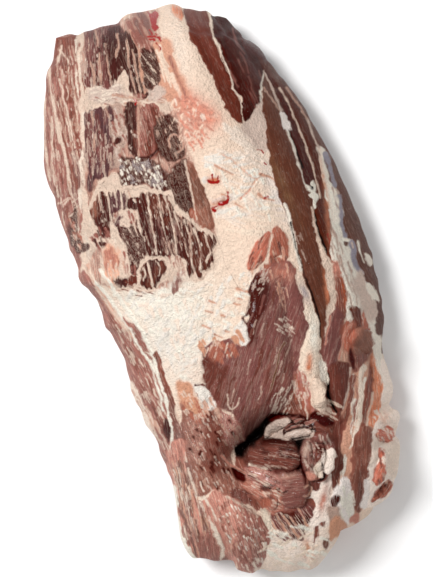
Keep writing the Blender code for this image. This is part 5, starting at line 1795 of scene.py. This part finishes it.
class Wiring:
    """The nodes of one material."""

    def __init__(self, name: str) -> None:
        """Starts a material with its shader and nothing wired."""
        self.material = bpy.data.materials.new(name)
        self.material.use_nodes = True
        self.tree = self.material.node_tree
        self.shader = self.tree.nodes["Principled BSDF"]

    def node(self, kind: str, settings: dict[str, object], inputs: dict[int | str, object],
             output: int | str = 0) -> Value:
        """Adds a node.

        Args:
            kind: The node's type.
            settings: Its settings, which are set first.
            inputs: The values or links of its sockets, by name or number.
            output: The socket that is wanted.

        Returns:
            What that socket gives.
        """
        added = self.tree.nodes.new(kind)
        for key, setting in settings.items():
            setattr(added, key, setting)
        for key, given in inputs.items():
            self.feed(added.inputs[key], given)
        return Value(self, added.outputs[output])

    def feed(self, socket: bpy.types.NodeSocket, given: object) -> None:
        """Links a value to a socket, or sets a number on it."""
        if isinstance(given, Value):
            self.tree.links.new(given.socket, socket)
        else:
            socket.default_value = given

    def attribute(self, name: str, output: str = "Vector") -> Value:
        """Reads an attribute of the mesh."""
        return self.node("ShaderNodeAttribute", {"attribute_name": name}, {}, output)

    def parts(self, vector: Value) -> tuple[Value, Value, Value]:
        """Returns the three parts of a vector."""
        split = self.node("ShaderNodeSeparateXYZ", {}, {0: vector}).socket.node
        return tuple(Value(self, split.outputs[part]) for part in range(3))

    def vector(self, x: Value | float, y: Value | float, z: Value | float) -> Value:
        """Joins three numbers to a vector."""
        return self.node("ShaderNodeCombineXYZ", {}, {0: x, 1: y, 2: z})

    def scaled(self, vector: Value, share: Value | float) -> Value:
        """Returns a vector or colour times a number."""
        return self.node("ShaderNodeVectorMath", {"operation": "SCALE"}, {0: vector, "Scale": share})

    def noise(self, vector: Value, scale: float, detail: float = 2.0, rough: float = 0.5) -> Value:
        """Returns smooth noise about 0, from about -0.4 to 0.4."""
        made = self.node("ShaderNodeTexNoise", {}, {
            "Vector": vector, "Scale": scale, "Detail": detail, "Roughness": rough})
        return made - 0.5

    def cells(self, vector: Value, scale: float, feature: str = "F1") -> Value:
        """Returns the distances of a field of cells."""
        return self.node("ShaderNodeTexVoronoi", {"feature": feature}, {
            "Vector": vector, "Scale": scale}, "Distance")

    def mix(self, share: Value | float, first: object, second: object) -> Value:
        """Mixes two colours: the first at 0, the second at 1."""
        return self.node("ShaderNodeMix", {"data_type": "RGBA"}, {0: share, 6: first, 7: second}, 2)


@dataclass(frozen=True)
class MeatFinish:
    """Raw lean and fat, read from the layers: fibres, marbling, speckle, lobules, wet gloss and painted
    glints.
    """

    lean_rough: float = 0.42
    fat_rough: float = 0.5
    wet_drop: float = 0.24
    bump: float = 1.0
    fleck: Tone = Tone.SEAM
    flush: Tone = Tone.PINK
    # The colour of the painted highlights (glints) mixed into the base colour.
    sparkle: tuple[float, float, float] = (0.88, 0.83, 0.8)
    line_half: float = 0.035
    line_edge: float = 0.03

    def material(self) -> bpy.types.Material:
        """Builds the material.

        Returns:
            The material. All lengths in it are in millimetres or picture steps.
        """
        wires = Wiring("raw_meat_and_fat")
        place = wires.scaled(wires.node("ShaderNodeTexCoord", {}, {}, "Object"), 1000.0)
        inside_lean, soft, wet = wires.parts(wires.attribute("tissue"))
        along, across, layer = wires.parts(wires.attribute("grain"))
        streak, marble, speckle = wires.parts(wires.attribute("figure"))
        ragged = wires.noise(place, 0.5, 4.0, 0.6)
        fine = wires.noise(place, 1.7, 3.0, 0.65)

        def drawn_out(ahead: float, aside: float, detail: float, apart: float = 0.0) -> Value:
            """Returns noise drawn out along the fibres, with its scales along and across them."""
            place_in_layer = along * ahead, across * aside, layer + apart if apart else layer
            return wires.noise(wires.vector(*place_in_layer), 1.0, detail, 0.6)

        fibre, thread = drawn_out(0.085, 0.8, 3.0), drawn_out(0.22, 1.9, 2.0)
        vein, lines = drawn_out(0.12, 0.95, 3.0, 9.0), drawn_out(0.055, 0.46, 2.5, 4.0)
        left = wires.noise(wires.vector(along * 0.2 + across * 0.3, across * 0.55 - along * 0.32, layer),
                           1.0, 2.0, 0.6)
        right = wires.noise(wires.vector(along * 0.2 - across * 0.3, across * 0.55 + along * 0.32, layer),
                            1.0, 2.0, 0.6)

        # Lean lies where the depth, made ragged along the fibres, is over 0.
        shaken = ragged * 2.2 + fine * 1.6 + (fibre + thread) * streak * 3.4
        lean_share = ((inside_lean + shaken * (soft * 0.45 + 0.25)) / soft + 0.5).clamp()

        # Flecks of fat in lean: marbling, thin lines along the fibres, and a web across them.
        fleck = (vein + marble * 0.36 + fine * 0.2 - 0.27).step(0.0, 0.13) * 0.8
        vein_lines = (self.line_half - lines.math("ABSOLUTE")).step(0.0, self.line_edge) * marble
        fleck = fleck + vein_lines * (ragged * 1.5 + 0.9)
        crossing = left.math("ABSOLUTE").math("MINIMUM", right.math("ABSOLUTE"))
        web = (self.line_half - crossing).step(0.0, self.line_edge) * speckle
        fleck = fleck + web * (ragged * 1.5 + 0.9)
        fleck = fleck.clamp()

        # The colours: lean and fat, uneven, then painted highlights (white glints) and blood over both.
        shade = 0.98 + (fibre * 1.5 + thread * 1.5) * streak + ragged * 0.4 + fine * (streak + 0.35)
        lean = wires.scaled(wires.attribute("lean", "Color"), shade.math("MAXIMUM", 0.2))
        lobules = wires.cells(place, 0.42, "SMOOTH_F1")
        fluff = wires.noise(place, 0.8, 3.0, 0.6)
        fat = wires.scaled(wires.attribute("fat", "Color"),
                           0.95 + ragged * 0.35 + fluff * 0.45 + fine * 0.35)
        fat = wires.mix((ragged - 0.06).clamp() * 0.7, fat, (*self.flush.linear, 1))
        marbled = wires.mix(fleck * 0.7, lean, wires.mix(0.45, (*self.fleck.linear, 1), fat))
        colour = wires.mix(lean_share, fat, marbled)
        # Painted highlights: white specks mixed into the colour, more of them where it is wet.
        glint = wires.noise(place, 1.5, 1.0, 0.5) + fine * 0.3
        spark = (glint + wet * 0.06 - 0.27).step(0.0, 0.04) * (wet * 0.8 + 0.2)
        colour = wires.mix(spark.clamp(), colour, (*self.sparkle, 1))
        blood = ((wires.attribute("blood", "Fac") + ragged * 3.0) / 1.2 + 0.5).clamp()
        colour = wires.mix(blood, colour, (*Tone.BLOOD.linear, 1))

        # Lean lies a little lower than fat and blood lower still; wet lean is crumpled.
        rough = (self.fat_rough + lean_share * (self.lean_rough - self.fat_rough)
                 - wet * self.wet_drop + fine * 0.16)
        crumple = wires.noise(place, 1.3, 2.0) * wet * 1.1
        height = (fibre + thread) * streak * 0.4 * lean_share + fleck * 0.12
        height = height - lean_share * 0.28 + crumple
        height = height + (fluff * 1.5 - lobules * 0.5) * (1.0 - lean_share)
        height = height + fine * 0.3 + ragged * 0.5 - blood * 0.1
        normal = wires.node("ShaderNodeBump", {}, {
            "Strength": self.bump, "Distance": METRE, "Height": height}, "Normal")
        wires.feed(wires.shader.inputs["Base Color"], colour)
        wires.feed(wires.shader.inputs["Roughness"], rough)
        wires.feed(wires.shader.inputs["Normal"], normal)
        wires.feed(wires.shader.inputs["Coat Weight"], ((wet - 0.2) * 0.5 + blood * 0.3).clamp())
        wires.feed(wires.shader.inputs["Coat Roughness"], 0.16)
        wires.feed(wires.shader.inputs["Specular IOR Level"], 0.06)
        wires.feed(wires.shader.inputs["IOR"], 1.3)
        return wires.material


@dataclass(frozen=True)
class FloorFinish:
    """A plain pale floor."""

    tint: tuple[float, float, float] = (0.93, 0.93, 0.93)

    def material(self) -> bpy.types.Material:
        """Builds the material: one pale colour, faintly uneven."""
        wires = Wiring("pale_floor")
        place = wires.node("ShaderNodeTexCoord", {}, {}, "Object")
        shade = wires.noise(place, 3.0) * 0.02 + 1.0
        wires.feed(wires.shader.inputs["Base Color"], (*self.tint, 1))
        wires.feed(wires.shader.inputs["Roughness"], shade * 0.8)
        return wires.material


# --------------------------------------------------------------------------------------------
# The studio
# --------------------------------------------------------------------------------------------

@dataclass(frozen=True)
class Lamp:
    """A square of soft light, aimed at the meat."""

    name: str
    place: tuple[float, float, float]
    size: float
    power: float

    def build(self) -> None:
        """Hangs the lamp, its back to where it came from."""
        data = bpy.data.lights.new(self.name, "AREA")
        data.shape = "SQUARE"
        data.size = self.size
        data.energy = self.power
        lamp = bpy.data.objects.new(self.name, data)
        lamp.location = self.place
        x, y, z = self.place
        lamp.rotation_euler = (math.atan2(math.hypot(x, y), z), 0, math.atan2(y, x) + math.pi / 2)
        bpy.context.scene.collection.objects.link(lamp)


@dataclass(frozen=True)
class Studio:
    """The floor, the lamps and the light of the room."""

    floor_half: float = 3.0
    room: float = 0.46
    lamps: tuple[Lamp, ...] = (
        Lamp("key_lamp", (-0.62, 0.6, 1.5), 0.5, 28.0),
        Lamp("fill_lamp", (1.0, -0.4, 1.3), 1.2, 3.5),
    )

    def build(self) -> None:
        """Builds the floor, the lamps and an even room light."""
        half = self.floor_half
        mesh = bpy.data.meshes.new("studio_floor")
        mesh.from_pydata([(-half, -half, 0), (half, -half, 0), (half, half, 0), (-half, half, 0)],
                         [], [(0, 1, 2, 3)])
        mesh.materials.append(FloorFinish().material())
        floor = bpy.data.objects.new("studio_floor", mesh)
        bpy.context.scene.collection.objects.link(floor)
        for lamp in self.lamps:
            lamp.build()
        world = bpy.data.worlds.new("room_light")
        world.use_nodes = True
        backdrop = world.node_tree.nodes["Background"]
        backdrop.inputs["Color"].default_value = (1.0, 1.0, 1.0, 1)
        backdrop.inputs["Strength"].default_value = self.room
        bpy.context.scene.world = world
        bpy.context.scene.view_settings.view_transform = "Standard"


def adopt(piece: bpy.types.Object, material: bpy.types.Material) -> None:
    """Gives a piece its material, its body and its slot, and reports it."""
    piece.data.materials.append(material)
    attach(piece, BODY)
    LOG.info("%s: %d faces", piece.name, len(piece.data.polygons))


def main() -> None:
    """Builds the meat, its loose lobes, the studio and the camera."""
    logging.basicConfig(level=logging.INFO, format="%(message)s")
    view = View()
    meat = MeatFinish().material()
    body = ShoulderBody(Form(), view)
    for piece in body.build():
        adopt(piece, meat)
    for lobe in LOBES:
        adopt(lobe.build(body), meat)
    Studio().build()
    view.build_camera()


if __name__ == "__main__":
    main()
